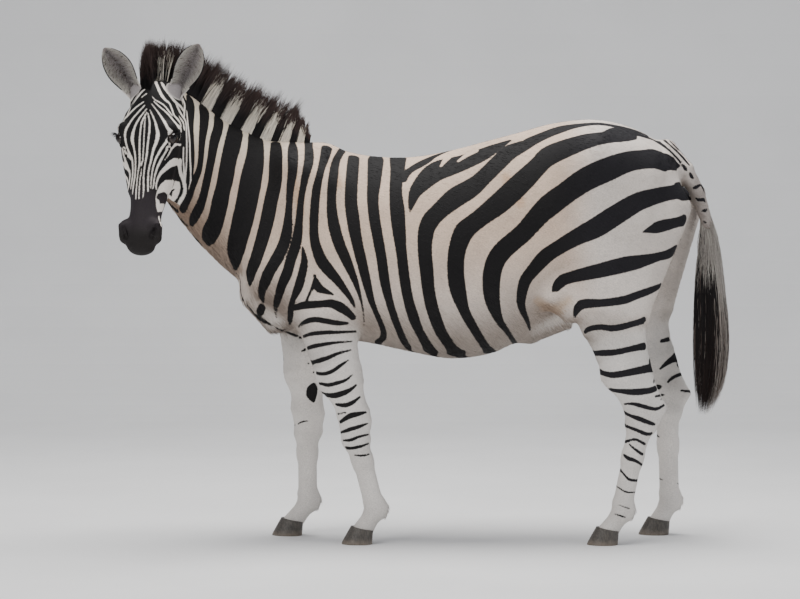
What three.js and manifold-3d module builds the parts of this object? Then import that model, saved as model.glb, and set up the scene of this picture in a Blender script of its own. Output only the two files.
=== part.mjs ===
// A plains zebra, standing at rest with its neck bent and its head turned to its left: a still,
// life-size display model. Millimetres, +Z up. The animal faces -X and its left side faces -Y.
//
// The flesh is one smooth field: a trunk-and-neck loft, swept along a bent plan line, blended with
// rounded muscle and bone masses. Each flesh part is that one field, meshed at its own cell size and
// parted from its neighbours by thin plane cuts. Hooves, ears, mane, eyes and the tail's hair are
// lofts and spheres of their own, cut back where they meet the flesh.
import * as THREE from "three";
import { mergeVertices } from "three/addons/utils/BufferGeometryUtils.js";
import Module from "manifold-3d";

const wasm = await Module();
wasm.setup();

// ---- Driving dimensions -------------------------------------------------------------------------
const GAP = 0.3; // clearance at every parting cut
const COAT_GAP = 1; // clearance of hair and ears over the flesh they stand on
const CENTRE = [61, -89.5]; // the plan point under the middle of the whole model's box

const BEND_START = -360; // where the neck leaves the trunk's straight plan line
const BEND_RADIUS = 430;
const BEND_ANGLE = THREE.MathUtils.degToRad(62);

const HEAD = {
  poll: new THREE.Vector3(-763, -242, 1428),
  yaw: THREE.MathUtils.degToRad(77), // from straight ahead towards the left
  tilt: THREE.MathUtils.degToRad(18), // of the head's long axis from the vertical
};
const EYE = { radius: 19.5, down: 159, out: 80, front: 43 };
const EAR = { length: 172, width: 88, wall: 7, tipOut: { left: 144, right: 168 } };
const HOOF = { height: 50, toe: 56, side: 43, crownToe: 39, crownSide: 34, slope: 0.2, rake: 16 };
const WITHERS = 1272; // the height of the back over the shoulders
const CELL = { head: 28, neck: 50, trunk: 62, dock: 22 }; // mesh cell of each field, by part
const LEG_CELL = { fore: [36, 27], hind: [34, 27] }; // of a leg's upper and lower lengths

// ---- The field's building blocks ----------------------------------------------------------------
const v3 = (x, y, z) => new THREE.Vector3(x, y, z);
const clamp = THREE.MathUtils.clamp;
const lerp = THREE.MathUtils.lerp;

// A smooth curve through [x, y] stations: cubic pieces whose slopes are the mean of the chords'.
function smoothCurve(points) {
  const slope = (i, j) => (points[j][1] - points[i][1]) / (points[j][0] - points[i][0]);
  const last = points.length - 1;
  const tangents = points.map((p, i) => {
    if (i === 0) return slope(0, 1);
    if (i === last) return slope(last - 1, last);
    return slope(i - 1, i + 1);
  });
  return (x) => {
    const at = clamp(x, points[0][0], points[last][0]);
    let i = 0;
    while (i < last - 1 && at > points[i + 1][0]) i++;
    const [x0, y0] = points[i];
    const [x1, y1] = points[i + 1];
    const h = x1 - x0;
    const t = (at - x0) / h;
    const u = 1 - t;
    return (
      y0 * u * u * (1 + 2 * t) + y1 * t * t * (3 - 2 * t) + h * t * u * (tangents[i] * u - tangents[i + 1] * t)
    );
  };
}

// Columns of a station table as smooth curves over its first column.
const columns = (table) => table[0].slice(1).map((_, c) => smoothCurve(table.map((row) => [row[0], row[c + 1]])));

// Two distances blended into one over a band k wide.
function blend(a, b, k) {
  const h = Math.max(k - Math.abs(a - b), 0) / k;
  return Math.min(a, b) - (h * h * k) / 4;
}

// Distance to a rounded ellipse-like body, from offsets and radii in the same order.
function rounded(offsets, radii) {
  let k0 = 0;
  let k1 = 0;
  for (let i = 0; i < offsets.length; i++) {
    k0 += (offsets[i] / radii[i]) ** 2;
    k1 += (offsets[i] / radii[i] ** 2) ** 2;
  }
  k0 = Math.sqrt(k0);
  return k0 < 1e-3 ? -Math.min(...radii) : (k0 * (k0 - 1)) / Math.sqrt(k1);
}

// A tapered mass from a to b: each end has [sideways, fore-and-aft] radii, and the ends are rounded.
function mass(a, b, ra, rb, k = 30, side = v3(0, 1, 0)) {
  const along = b.clone().sub(a);
  const length = along.length();
  along.normalize();
  const across = side.clone().addScaledVector(along, -side.dot(along)).normalize();
  const fore = along.clone().cross(across);
  const p = v3();
  const distance = (x, y, z) => {
    p.set(x, y, z).sub(a);
    const h = p.dot(along);
    const on = clamp(h, 0, length);
    const t = on / length;
    const rs = lerp(ra[0], rb[0], t);
    const rf = lerp(ra[1], rb[1], t);
    return rounded([p.dot(across), p.dot(fore), h - on], [rs, rf, Math.min(rs, rf)]);
  };
  return { distance, k };
}

// ---- The plan line: straight through the trunk, then an arc to the left, then straight -----------
function bend(s, n, z) {
  if (s >= BEND_START) return v3(s, n, z);
  const phi = Math.min((BEND_START - s) / BEND_RADIUS, BEND_ANGLE);
  const past = BEND_START - BEND_RADIUS * phi - s;
  const reach = BEND_RADIUS + n;
  return v3(
    BEND_START - reach * Math.sin(phi) - past * Math.cos(phi),
    -BEND_RADIUS + reach * Math.cos(phi) - past * Math.sin(phi),
    z,
  );
}

function unbend(x, y) {
  if (x >= BEND_START) return [x, y];
  const vx = x - BEND_START;
  const vy = y + BEND_RADIUS;
  const phi = Math.atan2(-vx, vy);
  if (phi <= BEND_ANGLE) return [BEND_START - BEND_RADIUS * phi, Math.hypot(vx, vy) - BEND_RADIUS];
  const c = Math.cos(BEND_ANGLE);
  const s = Math.sin(BEND_ANGLE);
  const ex = x - (BEND_START - BEND_RADIUS * s);
  const ey = y - (BEND_RADIUS * c - BEND_RADIUS);
  return [BEND_START - BEND_RADIUS * BEND_ANGLE + ex * c + ey * s, -ex * s + ey * c];
}

// ---- Trunk and neck: [plan distance, top, bottom, half width, how much narrower the top is] ------
const BARREL = [
  [-900, 1466, 1230, 60, 0.2],
  [-830, 1466, 1150, 70, 0.25],
  [-736, 1448, 1050, 75, 0.34],
  [-654, 1408, 962, 81, 0.38],
  [-574, 1356, 886, 92, 0.38],
  [-490, 1314, 812, 112, 0.36],
  [-410, 1284, 716, 138, 0.34],
  [-325, WITHERS, 664, 166, 0.32],
  [-230, 1262, 652, 196, 0.26],
  [-100, 1236, 634, 224, 0.18],
  [30, 1231, 606, 243, 0.12],
  [160, 1252, 584, 251, 0.1],
  [290, 1286, 600, 244, 0.1],
  [385, 1311, 646, 230, 0.1],
  [480, 1337, 716, 219, 0.1],
  [590, 1351, 800, 208, 0.1],
  [675, 1344, 860, 192, 0.1],
  [760, 1318, 930, 164, 0.1],
  [835, 1276, 1000, 116, 0.1],
];
const [BARREL_TOP, BARREL_BOTTOM, BARREL_HALF, BARREL_EGG] = columns(BARREL);
const BARREL_FRONT = BARREL[0][0];
const BARREL_REAR = BARREL[BARREL.length - 1][0];
const REAR_ROUND = 60;

function barrel(x, y, z) {
  const [s, n] = unbend(x, y);
  const at = clamp(s, BARREL_FRONT, BARREL_REAR);
  const level = (g) => {
    const top = BARREL_TOP(g);
    const bottom = BARREL_BOTTOM(g);
    const q = (2 * z - top - bottom) / (top - bottom);
    const half = BARREL_HALF(g) * (1 - BARREL_EGG(g) * clamp(q, -1, 1));
    const d = rounded([n, z - (top + bottom) / 2, s - at], [half, (top - bottom) / 2, REAR_ROUND]);
    return d;
  };
  const d = level(at);
  const step = 4;
  const lean = (level(clamp(at + step, BARREL_FRONT, BARREL_REAR)) - d) / step;
  return d / Math.hypot(1, lean);
}

// ---- The head, in its own frame: down the long axis, out to the left, and to the front ----------
const headAhead = v3(-Math.cos(HEAD.yaw), -Math.sin(HEAD.yaw), 0);
const headDown = headAhead.clone().multiplyScalar(Math.sin(HEAD.tilt)).add(v3(0, 0, -Math.cos(HEAD.tilt)));
const headFront = headAhead.clone().multiplyScalar(Math.cos(HEAD.tilt)).add(v3(0, 0, Math.sin(HEAD.tilt)));
const headLeft = v3(Math.sin(HEAD.yaw), -Math.cos(HEAD.yaw), 0);
const headPoint = (down, out, front) =>
  HEAD.poll.clone().addScaledVector(headDown, down).addScaledVector(headLeft, out).addScaledVector(headFront, front);

// [distance down, front profile, jaw profile, half width, how much narrower the jaw is]
const SKULL = [
  [0, 34, -84, 64, -0.05],
  [50, 66, -128, 80, 0.0],
  [110, 84, -154, 90, 0.08],
  [165, 84, -156, 92, 0.12],
  [225, 73, -144, 84, 0.08],
  [280, 62, -126, 70, 0.0],
  [330, 54, -106, 57, -0.04],
  [380, 48, -84, 50, -0.02],
  [430, 46, -66, 54, 0.0],
  [464, 44, -58, 54, 0.04],
  [494, 33, -46, 43, 0.08],
];
const [SKULL_FRONT, SKULL_JAW, SKULL_HALF, SKULL_EGG] = columns(SKULL);
const SKULL_END = SKULL[SKULL.length - 1][0];
const CROWN_ROUND = 46;
const LIP_ROUND = 26;

function skull(x, y, z) {
  const p = v3(x, y, z).sub(HEAD.poll);
  const d = p.dot(headDown);
  const at = clamp(d, 0, SKULL_END);
  const top = SKULL_FRONT(at);
  const jaw = SKULL_JAW(at);
  const front = p.dot(headFront) - (top + jaw) / 2;
  const deep = (top - jaw) / 2;
  const half = SKULL_HALF(at) * (1 + SKULL_EGG(at) * clamp(front / deep, -1, 1));
  return rounded([p.dot(headLeft), front, d - at], [half, deep, d < 0 ? CROWN_ROUND : LIP_ROUND]);
}

// A mass in the head's frame: each end is [down, out, front], mirrored by side (1 left, -1 right).
const headMass = (side, a, b, ra, rb, k = 14) =>
  mass(headPoint(a[0], a[1] * side, a[2]), headPoint(b[0], b[1] * side, b[2]), ra, rb, k, headLeft);

const headMasses = [1, -1].flatMap((side) => [
  headMass(side, [132, 70, 54], [176, 70, 50], [25, 26], [23, 22], 18), // brow and eye socket
  headMass(side, [92, 58, 18], [138, 80, 20], [30, 34], [20, 22], 22), // temple
  headMass(side, [185, 78, 4], [310, 54, -12], [16, 18], [10, 12], 22), // cheek ridge
  headMass(side, [106, 50, -92], [212, 50, -86], [38, 62], [34, 52], 30), // cheek muscle
  headMass(side, [436, 46, 18], [470, 47, 12], [24, 26], [23, 23], 16), // nostril wing
  headMass(side, [20, 50, -8], [-16, 64, -14], [34, 34], [24, 26], 24), // ear root
]).concat([
  headMass(1, [474, 0, 6], [494, 0, 2], [48, 34], [40, 28], 18), // upper lip
  headMass(1, [466, 0, -46], [486, 0, -40], [35, 22], [30, 18], 14), // chin and lower lip
]);

// ---- Shoulders, legs and haunches ---------------------------------------------------------------
// A leg's joints are [x, z] in the side view; out is its plan distance from the middle of the body.
const FORE = {
  left: { side: -1, out: 112, elbow: [-240, 700], knee: [-147, 374], fetlock: [-80, 116], hoof: -132 },
  right: { side: 1, out: 112, elbow: [-306, 700], knee: [-302, 378], fetlock: [-300, 116], hoof: -362 },
};
const HIND = {
  left: { side: -1, out: 130, seat: [846, 1075, 82], stifle: [646, 716], hock: [768, 426], fetlock: [704, 112], hoof: 648 },
  right: { side: 1, out: 130, seat: [892, 1070, 84], stifle: [740, 726], hock: [876, 450], fetlock: [878, 114], hoof: 832 },
};
const CROWN_HEIGHT = HOOF.height + 2;

// The stretch from the fetlock down to the hoof's crown, the same on every leg.
function pastern(leg, out) {
  const [fx, fz] = leg.fetlock;
  const crown = leg.hoof + HOOF.rake - 4;
  return [
    mass(v3(fx + 6, out, fz + 6), v3(fx + 2, out, fz - 12), [30, 38], [29, 35], 22), // fetlock joint
    mass(v3(fx - 4, out, fz - 16), v3(crown, out, CROWN_HEIGHT - 12), [26, 28], [32, 35], 20), // pastern
    mass(v3(fx + 30, out, fz - 4), v3(fx + 26, out, fz - 22), [15, 14], [12, 10], 16), // ergot
  ];
}

function foreleg(leg) {
  const out = leg.side * leg.out;
  const [ex, ez] = leg.elbow;
  const [kx, kz] = leg.knee;
  const [fx, fz] = leg.fetlock;
  const mid = (t) => lerp(kx, fx, t);
  return [
    mass(v3(-262, leg.side * 96, 1150), v3(-404, leg.side * 128, 880), [46, 118], [58, 92], 60), // shoulder blade
    mass(v3(-404, leg.side * 126, 868), v3(ex + 12, leg.side * 126, 752), [60, 76], [56, 84], 50), // upper arm
    mass(v3(ex, out * 1.08, ez + 36), v3(lerp(ex, kx, 0.55), out, lerp(ez, kz, 0.55)), [62, 96], [47, 70], 40),
    mass(v3(lerp(ex, kx, 0.5), out, lerp(ez, kz, 0.5)), v3(kx, out, kz + 46), [46, 68], [36, 49], 30),
    mass(v3(ex + 74, out * 1.04, ez + 44), v3(ex + 70, out, ez - 10), [34, 34], [28, 30], 36), // point of the elbow
    mass(v3(kx, out, kz + 34), v3(kx + 6, out, kz - 36), [39, 52], [36, 48], 26), // knee
    mass(v3(kx + 44, out, kz + 18), v3(kx + 42, out, kz + 2), [18, 14], [16, 12], 18), // bone behind the knee
    mass(v3(mid(0.14), out, kz - 52), v3(mid(0.45), out, lerp(kz, fz, 0.45)), [28, 40], [23, 33], 26), // cannon
    mass(v3(mid(0.4), out, lerp(kz, fz, 0.4)), v3(mid(0.9), out, fz + 24), [23, 33], [24, 33], 22),
    ...pastern(leg, out),
  ];
}

function hindleg(leg) {
  const out = leg.side * leg.out;
  const [bx, bz, deep] = leg.seat;
  const [sx, sz] = leg.stifle;
  const [hx, hz] = leg.hock;
  const [fx, fz] = leg.fetlock;
  const mid = (t) => lerp(hx, fx, t);
  return [
    mass(v3(600, leg.side * 118, 1190), v3(740, leg.side * 104, 1120), [104, 132], [96, 132], 70), // rump muscle
    mass(v3(690, leg.side * 118, 1020), v3(sx + 6, leg.side * 142, sz + 50), [92, 176], [70, 108], 60), // thigh
    mass(v3(bx, leg.side * 76, bz), v3(lerp(sx, hx, 0.75) + 4, out, sz + 50), [66, deep], [54, 62], 50), // buttock
    mass(v3(sx + 30, out, sz - 8), v3(lerp(sx, hx, 0.6) + 6, out, lerp(sz, hz, 0.6)), [58, 98], [43, 72], 40),
    mass(v3(lerp(sx, hx, 0.55), out, lerp(sz, hz, 0.55)), v3(hx - 8, out, hz + 34), [44, 72], [33, 48], 30),
    mass(v3(sx - 32, out * 1.08, sz + 4), v3(sx - 30, out * 1.05, sz - 26), [34, 36], [28, 34], 36), // kneecap
    mass(v3(hx - 12, out, hz + 150), v3(hx + 54, out, hz + 12), [18, 26], [17, 20], 26), // Achilles tendon
    mass(v3(hx - 4, out, hz + 26), v3(hx - 6, out, hz - 34), [37, 56], [33, 50], 26), // hock
    mass(v3(hx + 56, out, hz + 10), v3(hx + 22, out, hz - 50), [17, 20], [18, 26], 22), // point of the hock
    mass(v3(mid(0.14), out, hz - 58), v3(mid(0.5), out, lerp(hz, fz, 0.5)), [28, 42], [24, 34], 26), // cannon
    mass(v3(mid(0.45), out, lerp(hz, fz, 0.45)), v3(mid(0.92), out, fz + 26), [24, 34], [25, 34], 22),
    ...pastern(leg, out),
  ];
}

const DOCK = [
  [856, 1246, 36],
  [912, 1186, 26],
  [946, 1118, 21],
  [980, 1010, 20],
]; // the tail's bony root: x, z and radius at each bend
const dockMasses = DOCK.slice(1).map(([x, z, r], i) => {
  const [x0, z0, r0] = DOCK[i];
  return mass(v3(x0, 0, z0), v3(x, 0, z), [r0, r0], [r, r], i ? 8 : 30);
});

const bodyMasses = [
  ...[-1, 1].flatMap((side) => [
    mass(v3(-452, side * 58, 800), v3(-400, side * 62, 716), [60, 62], [52, 44], 50), // breast
    mass(v3(-360, side * 40, 1196), v3(-250, side * 36, 1212), [44, 60], [44, 46], 60), // withers
    mass(v3(505, side * 150, 800), v3(548, side * 138, 744), [34, 56], [30, 46], 60), // flank fold
  ]),
  mass(v3(420, 0, 676), v3(520, 0, 712), [60, 40], [60, 40], 60), // sheath
  ...Object.values(FORE).flatMap(foreleg),
  ...Object.values(HIND).flatMap(hindleg),
];

function flesh(x, y, z) {
  let d = barrel(x, y, z);
  for (const m of bodyMasses) d = blend(d, m.distance(x, y, z), m.k);
  if (x > HEAD.poll.x + 420) return d;
  let head = skull(x, y, z);
  for (const m of headMasses) head = blend(head, m.distance(x, y, z), m.k);
  return blend(d, head, 34);
}

// ---- Meshing a field: one vertex in each cell the surface crosses, one quad across each crossed edge
function gradient(field, p, step = 1.5) {
  return v3(
    field(p.x + step, p.y, p.z) - field(p.x - step, p.y, p.z),
    field(p.x, p.y + step, p.z) - field(p.x, p.y - step, p.z),
    field(p.x, p.y, p.z + step) - field(p.x, p.y, p.z - step),
  ).divideScalar(2 * step);
}

function settle(field, p) {
  for (let pass = 0; pass < 3; pass++) {
    const g = gradient(field, p);
    const size = Math.max(g.lengthSq(), 0.2);
    p.addScaledVector(g, -clamp(field(p.x, p.y, p.z) / size, -8, 8));
  }
  return p;
}

// Closes the gaps too thin for the grid: where a face of the grid has its inside corners on one
// diagonal only, the outside corner nearest to the surface is taken inside, until no such face is left.
function closeDiagonals(values, n, index) {
  const inside = (at) => values[at] < 0;
  for (let changed = true; changed; ) {
    changed = false;
    for (let i = 0; i < n[0]; i++)
      for (let j = 0; j < n[1]; j++)
        for (let k = 0; k < n[2]; k++)
          for (const [u, w] of [[[1, 0, 0], [0, 1, 0]], [[0, 1, 0], [0, 0, 1]], [[1, 0, 0], [0, 0, 1]]]) {
            if (i + u[0] + w[0] >= n[0] || j + u[1] + w[1] >= n[1] || k + u[2] + w[2] >= n[2]) continue;
            const a = index(i, j, k);
            const b = index(i + u[0], j + u[1], k + u[2]);
            const c = index(i + u[0] + w[0], j + u[1] + w[1], k + u[2] + w[2]);
            const d = index(i + w[0], j + w[1], k + w[2]);
            if (inside(a) !== inside(c) || inside(b) !== inside(d) || inside(a) === inside(b)) continue;
            const [p, q] = inside(a) ? [b, d] : [a, c];
            values[values[p] < values[q] ? p : q] = -0.01;
            changed = true;
          }
  }
}

function meshField(field, low, high, cell, swell) {
  const n = [0, 1, 2].map((i) => Math.ceil((high[i] - low[i]) / cell) + 3);
  const at = (i, axis) => low[axis] + (i - 1) * cell;
  const values = new Float32Array(n[0] * n[1] * n[2]);
  const index = (i, j, k) => (i * n[1] + j) * n[2] + k;
  for (let i = 0; i < n[0]; i++)
    for (let j = 0; j < n[1]; j++)
      for (let k = 0; k < n[2]; k++) values[index(i, j, k)] = field(at(i, 0), at(j, 1), at(k, 2));
  closeDiagonals(values, n, index);
  const positions = [];
  const cellVertex = new Int32Array(values.length).fill(-1);
  const corners = [0, 1, 2, 3, 4, 5, 6, 7].map((c) => [c & 1, (c >> 1) & 1, (c >> 2) & 1]);
  const edges = [0, 1, 2].flatMap((axis) => corners.filter((c) => !c[axis]).map((c) => [c, axis]));
  for (let i = 0; i < n[0] - 1; i++)
    for (let j = 0; j < n[1] - 1; j++)
      for (let k = 0; k < n[2] - 1; k++) {
        const sum = v3();
        let crossings = 0;
        for (const [c, axis] of edges) {
          const e = [i + c[0], j + c[1], k + c[2]];
          const a = values[index(...e)];
          const f = [...e];
          f[axis]++;
          const b = values[index(...f)];
          if (a < 0 === b < 0) continue;
          const here = [at(e[0], 0), at(e[1], 1), at(e[2], 2)];
          here[axis] += (a / (a - b)) * cell;
          sum.add(v3(...here));
          crossings++;
        }
        if (!crossings) continue;
        const p = settle(field, sum.divideScalar(crossings));
        p.addScaledVector(gradient(field, p).normalize(), swell);
        cellVertex[index(i, j, k)] = positions.length / 3;
        positions.push(p.x, p.y, p.z);
      }
  const triangles = [];
  const corner = (t) => v3(positions[3 * t], positions[3 * t + 1], positions[3 * t + 2]);
  for (let axis = 0; axis < 3; axis++) {
    const u = (axis + 1) % 3;
    const w = (axis + 2) % 3;
    for (let i = 1; i < n[0] - 1; i++)
      for (let j = 1; j < n[1] - 1; j++)
        for (let k = 1; k < n[2] - 1; k++) {
          const e = [i, j, k];
          const f = [...e];
          f[axis]++;
          const a = values[index(...e)];
          const b = values[index(...f)];
          if (a < 0 === b < 0) continue;
          const quad = [[0, 0], [1, 0], [1, 1], [0, 1]].map(([du, dw]) => {
            const c = [...e];
            c[u] -= du;
            c[w] -= dw;
            return cellVertex[index(...c)];
          });
          if (a >= 0) quad.reverse();
          const [p, q, r, s] = quad;
          const short = corner(p).distanceTo(corner(r)) <= corner(q).distanceTo(corner(s));
          triangles.push(...(short ? [p, q, r, p, r, s] : [q, r, s, q, s, p]));
        }
  }
  return solid(positions, triangles);
}

// ---- Solids ---------------------------------------------------------------------------------
const solid = (positions, triangles) =>
  new wasm.Manifold(
    new wasm.Mesh({
      numProp: 3,
      vertProperties: new Float32Array(positions),
      triVerts: new Uint32Array(triangles),
    }),
  );

function solidOf(geometry) {
  const bare = geometry.clone();
  bare.deleteAttribute("normal");
  bare.deleteAttribute("uv");
  const merged = mergeVertices(bare);
  return solid(merged.getAttribute("position").array, merged.index.array);
}

// The solid as geometry, with corners closer than the weld joined and the slivers that leaves dropped.
const WELD = 0.05;
function geometryOf(manifold) {
  const mesh = manifold.getMesh();
  const geometry = new THREE.BufferGeometry();
  geometry.setAttribute("position", new THREE.BufferAttribute(new Float32Array(mesh.vertProperties), 3));
  geometry.setIndex([...mesh.triVerts]);
  const welded = mergeVertices(geometry, WELD);
  const index = welded.index.array;
  const kept = [];
  for (let i = 0; i < index.length; i += 3) {
    const [a, b, c] = index.slice(i, i + 3);
    if (a !== b && b !== c && c !== a) kept.push(a, b, c);
  }
  welded.setIndex(kept);
  return welded;
}

// A closed tube through rings of points, the same count in each, with a fan over each end.
function loft(rings) {
  const count = rings[0].length;
  const middle = (ring) => ring.reduce((sum, p) => sum.add(p), v3()).divideScalar(count);
  const positions = [...rings.flat(), middle(rings[0]), middle(rings.at(-1))].flatMap((p) => [p.x, p.y, p.z]);
  const first = rings.length * count;
  const triangles = [];
  for (let j = 0; j < count; j++) {
    const k = (j + 1) % count;
    for (let i = 0; i + 1 < rings.length; i++) {
      const a = i * count;
      triangles.push(a + j, a + k, a + count + k, a + j, a + count + k, a + count + j);
    }
    triangles.push(first, k, j, first + 1, first - count + j, first - count + k);
  }
  const made = solid(positions, triangles);
  return made.volume() > 0 ? made : solid(positions, triangles.reverse());
}

// Everything on the side of a plane that its normal points to.
const REACH = 4000;
function halfSpace(point, normal) {
  const box = new THREE.BoxGeometry(REACH, REACH, REACH).translate(0, 0, REACH / 2);
  box.applyQuaternion(new THREE.Quaternion().setFromUnitVectors(v3(0, 0, 1), normal));
  box.translate(point.x, point.y, point.z);
  return solidOf(box);
}

// ---- Parting planes --------------------------------------------------------------------------
const throatNormal = headFront.clone().multiplyScalar(-0.98).addScaledVector(headDown, -0.2).normalize();
const PLANES = {
  throat: { at: headPoint(130, 0, -176), normal: throatNormal }, // points from head to neck
  shoulder: { at: v3(-345, 0, 1270), normal: v3(-0.952, 0, 0.305) }, // from trunk to neck
  elbow: { at: v3(0, 0, 600), normal: v3(0, 0, -1) }, // from trunk to foreleg
  stifle: { at: v3(0, 0, 700), normal: v3(0, 0, -1) }, // from trunk to hind leg
};
const beyond = ({ at, normal }) => halfSpace(at.clone().addScaledVector(normal, GAP / 2), normal);
const before = ({ at, normal }) =>
  halfSpace(at.clone().addScaledVector(normal, -GAP / 2), normal.clone().negate());

// The flesh within a box, meshed at one cell size, its faces then moved out by swell.
function fleshIn(low, high, cell, swell = 0) {
  const boxed = (x, y, z) =>
    Math.max(flesh(x, y, z), low[0] - x, x - high[0], low[1] - y, y - high[1], low[2] - z, z - high[2]);
  return meshField(boxed, low, high, cell, swell);
}

// ---- Parts -----------------------------------------------------------------------------------
const group = new THREE.Group();
const body = new THREE.Group();
body.position.set(-CENTRE[0], -CENTRE[1], 0);
group.add(body);

const finish = (color, roughness) => new THREE.MeshStandardMaterial({ color, roughness, metalness: 0 });
const COLOURS = { coat: 0xcfc6b8, mane: 0x3a2f2c, horn: 0x4a4540, eye: 0x140d09, ear: 0xb5ada2 };

function addPart(name, made, colour, roughness = 0.85) {
  const pieces = made.decompose().sort((a, b) => b.volume() - a.volume());
  const mesh = new THREE.Mesh(geometryOf(pieces[0]), finish(colour, roughness));
  mesh.name = name;
  body.add(mesh);
}

const NECK_BOX = [[-960, -380, 640], [-300, 190, 1470]];
const HEAD_BOX = [[-960, -560, 860], [-600, -60, 1500]];
const TRUNK_BOX = [[-600, -330, 490], [930, 330, 1380]];
const neckBlank = (swell) => fleshIn(...NECK_BOX, CELL.neck, swell);
const headBlank = (swell) => fleshIn(...HEAD_BOX, CELL.head, swell);
const trunkBlank = (swell) => fleshIn(...TRUNK_BOX, CELL.trunk, swell);

// An eyeball is a sphere; the head is cut back from a slightly larger one.
const eyeBall = (side, grow = 0) =>
  solidOf(new THREE.SphereGeometry(EYE.radius + grow, 10, 7).translate(
    ...headPoint(EYE.down, side * EYE.out, EYE.front).toArray(),
  ));

const headCut = headBlank(0)
  .intersect(before(PLANES.throat))
  .subtract(eyeBall(1, GAP))
  .subtract(eyeBall(-1, GAP));
addPart("head", headCut, COLOURS.coat);
for (const [name, side] of [["eye_left", 1], ["eye_right", -1]])
  addPart(name, eyeBall(side), COLOURS.eye, 0.08);

addPart("neck", neckBlank(0).intersect(beyond(PLANES.throat)).intersect(beyond(PLANES.shoulder)), COLOURS.coat);

const legBoxes = {
  fore: { low: [-520, 560], high: [-10, 640], plane: PLANES.elbow },
  hind: { low: [530, 560], high: [1000, 712], plane: PLANES.stifle },
};
const SPLIT = { fore: 418, hind: 486 }; // the heights of the cuts above the knee and the hock

// The region that the legs of one pair hold, under their parting plane.
function legSlab({ low, high, plane }) {
  const wide = 700;
  const box = new THREE.BoxGeometry(high[0] - low[0], wide, plane.at.z);
  return solidOf(box.translate((low[0] + high[0]) / 2, 0, plane.at.z / 2 + GAP / 2));
}
const trunkCut = trunkBlank(0)
  .intersect(before(PLANES.shoulder))
  .subtract(legSlab(legBoxes.fore))
  .subtract(legSlab(legBoxes.hind));
addPart("trunk", trunkCut, COLOURS.coat);

// Hooves: a raked cone from the crown, which slopes down to the heel, to the flat sole.
const crownPlane = (leg) => ({
  at: v3(leg.hoof + HOOF.rake, 0, HOOF.height),
  normal: v3(-HOOF.slope, 0, -1).normalize(),
});

function hoof(leg, pair) {
  const out = leg.side * leg.out;
  const sides = 14;
  const levels = [0, 0.12, 1];
  const rings = levels.map((t) => {
    const toe = lerp(HOOF.toe, HOOF.crownToe, t) - (t ? 0 : 2);
    const wide = lerp(HOOF.side, HOOF.crownSide, t) * (pair === "hind" ? 0.94 : 1) - (t ? 0 : 2);
    return Array.from({ length: sides }, (_, i) => {
      const a = (2 * Math.PI * i) / sides;
      const heel = Math.cos(a) > 0 ? 0.82 : 1;
      const x = toe * heel * Math.cos(a);
      return v3(leg.hoof + HOOF.rake * t + x, out + wide * Math.sin(a), t * (HOOF.height - HOOF.slope * x));
    });
  });
  return loft(rings);
}

const legPairs = [["foreleg", "fore", FORE], ["hindleg", "hind", HIND]];
for (const [word, pair, legs] of legPairs)
  for (const [sideName, leg] of Object.entries(legs)) {
    const { low, high, plane } = legBoxes[pair];
    const [upperCell, lowerCell] = LEG_CELL[pair];
    const ySpan = leg.side < 0 ? [-330, 60] : [-60, 330];
    const split = { at: v3(0, 0, SPLIT[pair]), normal: v3(0, 0, -1) };
    const middle = { at: v3(0, 0, 0), normal: v3(0, leg.side, 0) };
    const blank = fleshIn([low[0], ySpan[0], SPLIT[pair] - 90], [high[0], ySpan[1], plane.at.z + 90], upperCell);
    const upper = blank.intersect(beyond(plane)).intersect(beyond(middle)).intersect(before(split));
    addPart(`${word}_${sideName}_upper`, upper, COLOURS.coat);
    const lower = fleshIn([low[0], ySpan[0], 10], [high[0], ySpan[1], SPLIT[pair] + 60], lowerCell);
    const crown = crownPlane(leg);
    addPart(`${word}_${sideName}_lower`, lower.intersect(beyond(split)).intersect(before(crown)), COLOURS.coat);
    addPart(`${pair}hoof_${sideName}`, hoof(leg, pair).intersect(beyond(crown)), COLOURS.horn, 0.6);
  }

// ---- Ears: a pointed leaf rolled into a cup, open to the front ------------------------------------
const earWidth = smoothCurve([[0, 0.5], [0.2, 0.72], [0.5, 1], [0.75, 0.86], [0.92, 0.46], [1, 0.1]]);
const earRoll = smoothCurve([[0, 1.5], [0.3, 1.25], [0.7, 0.95], [1, 0.5]]);

function ear(side, tipOut) {
  const root = headPoint(0, side * 66, 4);
  const tip = headPoint(-138, side * tipOut, 58);
  const along = tip.clone().sub(root).normalize();
  const open = headFront.clone().addScaledVector(headLeft, side * 0.25);
  open.addScaledVector(along, -open.dot(along)).normalize();
  const across = along.clone().cross(open);
  const levels = 7;
  const arc = 6;
  const rings = Array.from({ length: levels }, (_, i) => {
    const t = i / (levels - 1);
    const half = (EAR.width / 2) * earWidth(t);
    const roll = earRoll(t);
    const radius = half / Math.sin(Math.min(roll, Math.PI / 2));
    const bow = 10 * Math.sin(Math.PI * t);
    const centre = root.clone().addScaledVector(along, t * EAR.length).addScaledVector(open, radius * Math.cos(roll) - bow);
    const wall = Math.min(EAR.wall, half * 0.8) / 2;
    const point = (angle, r) =>
      centre.clone().addScaledVector(across, r * Math.sin(angle)).addScaledVector(open, -r * Math.cos(angle));
    const outer = Array.from({ length: arc + 1 }, (_, j) => point(lerp(-roll, roll, j / arc), radius + wall));
    const inner = Array.from({ length: arc + 1 }, (_, j) => point(lerp(roll, -roll, j / arc), radius - wall));
    return [...outer, ...inner];
  });
  return loft(rings);
}

const guard = (blank) => blank(COAT_GAP).add(blank(0));
const headGuard = guard(headBlank);
const ears = { left: ear(1, EAR.tipOut.left), right: ear(-1, EAR.tipOut.right) };
for (const [name, made] of Object.entries(ears)) addPart(`ear_${name}`, made.subtract(headGuard), COLOURS.ear);

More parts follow.
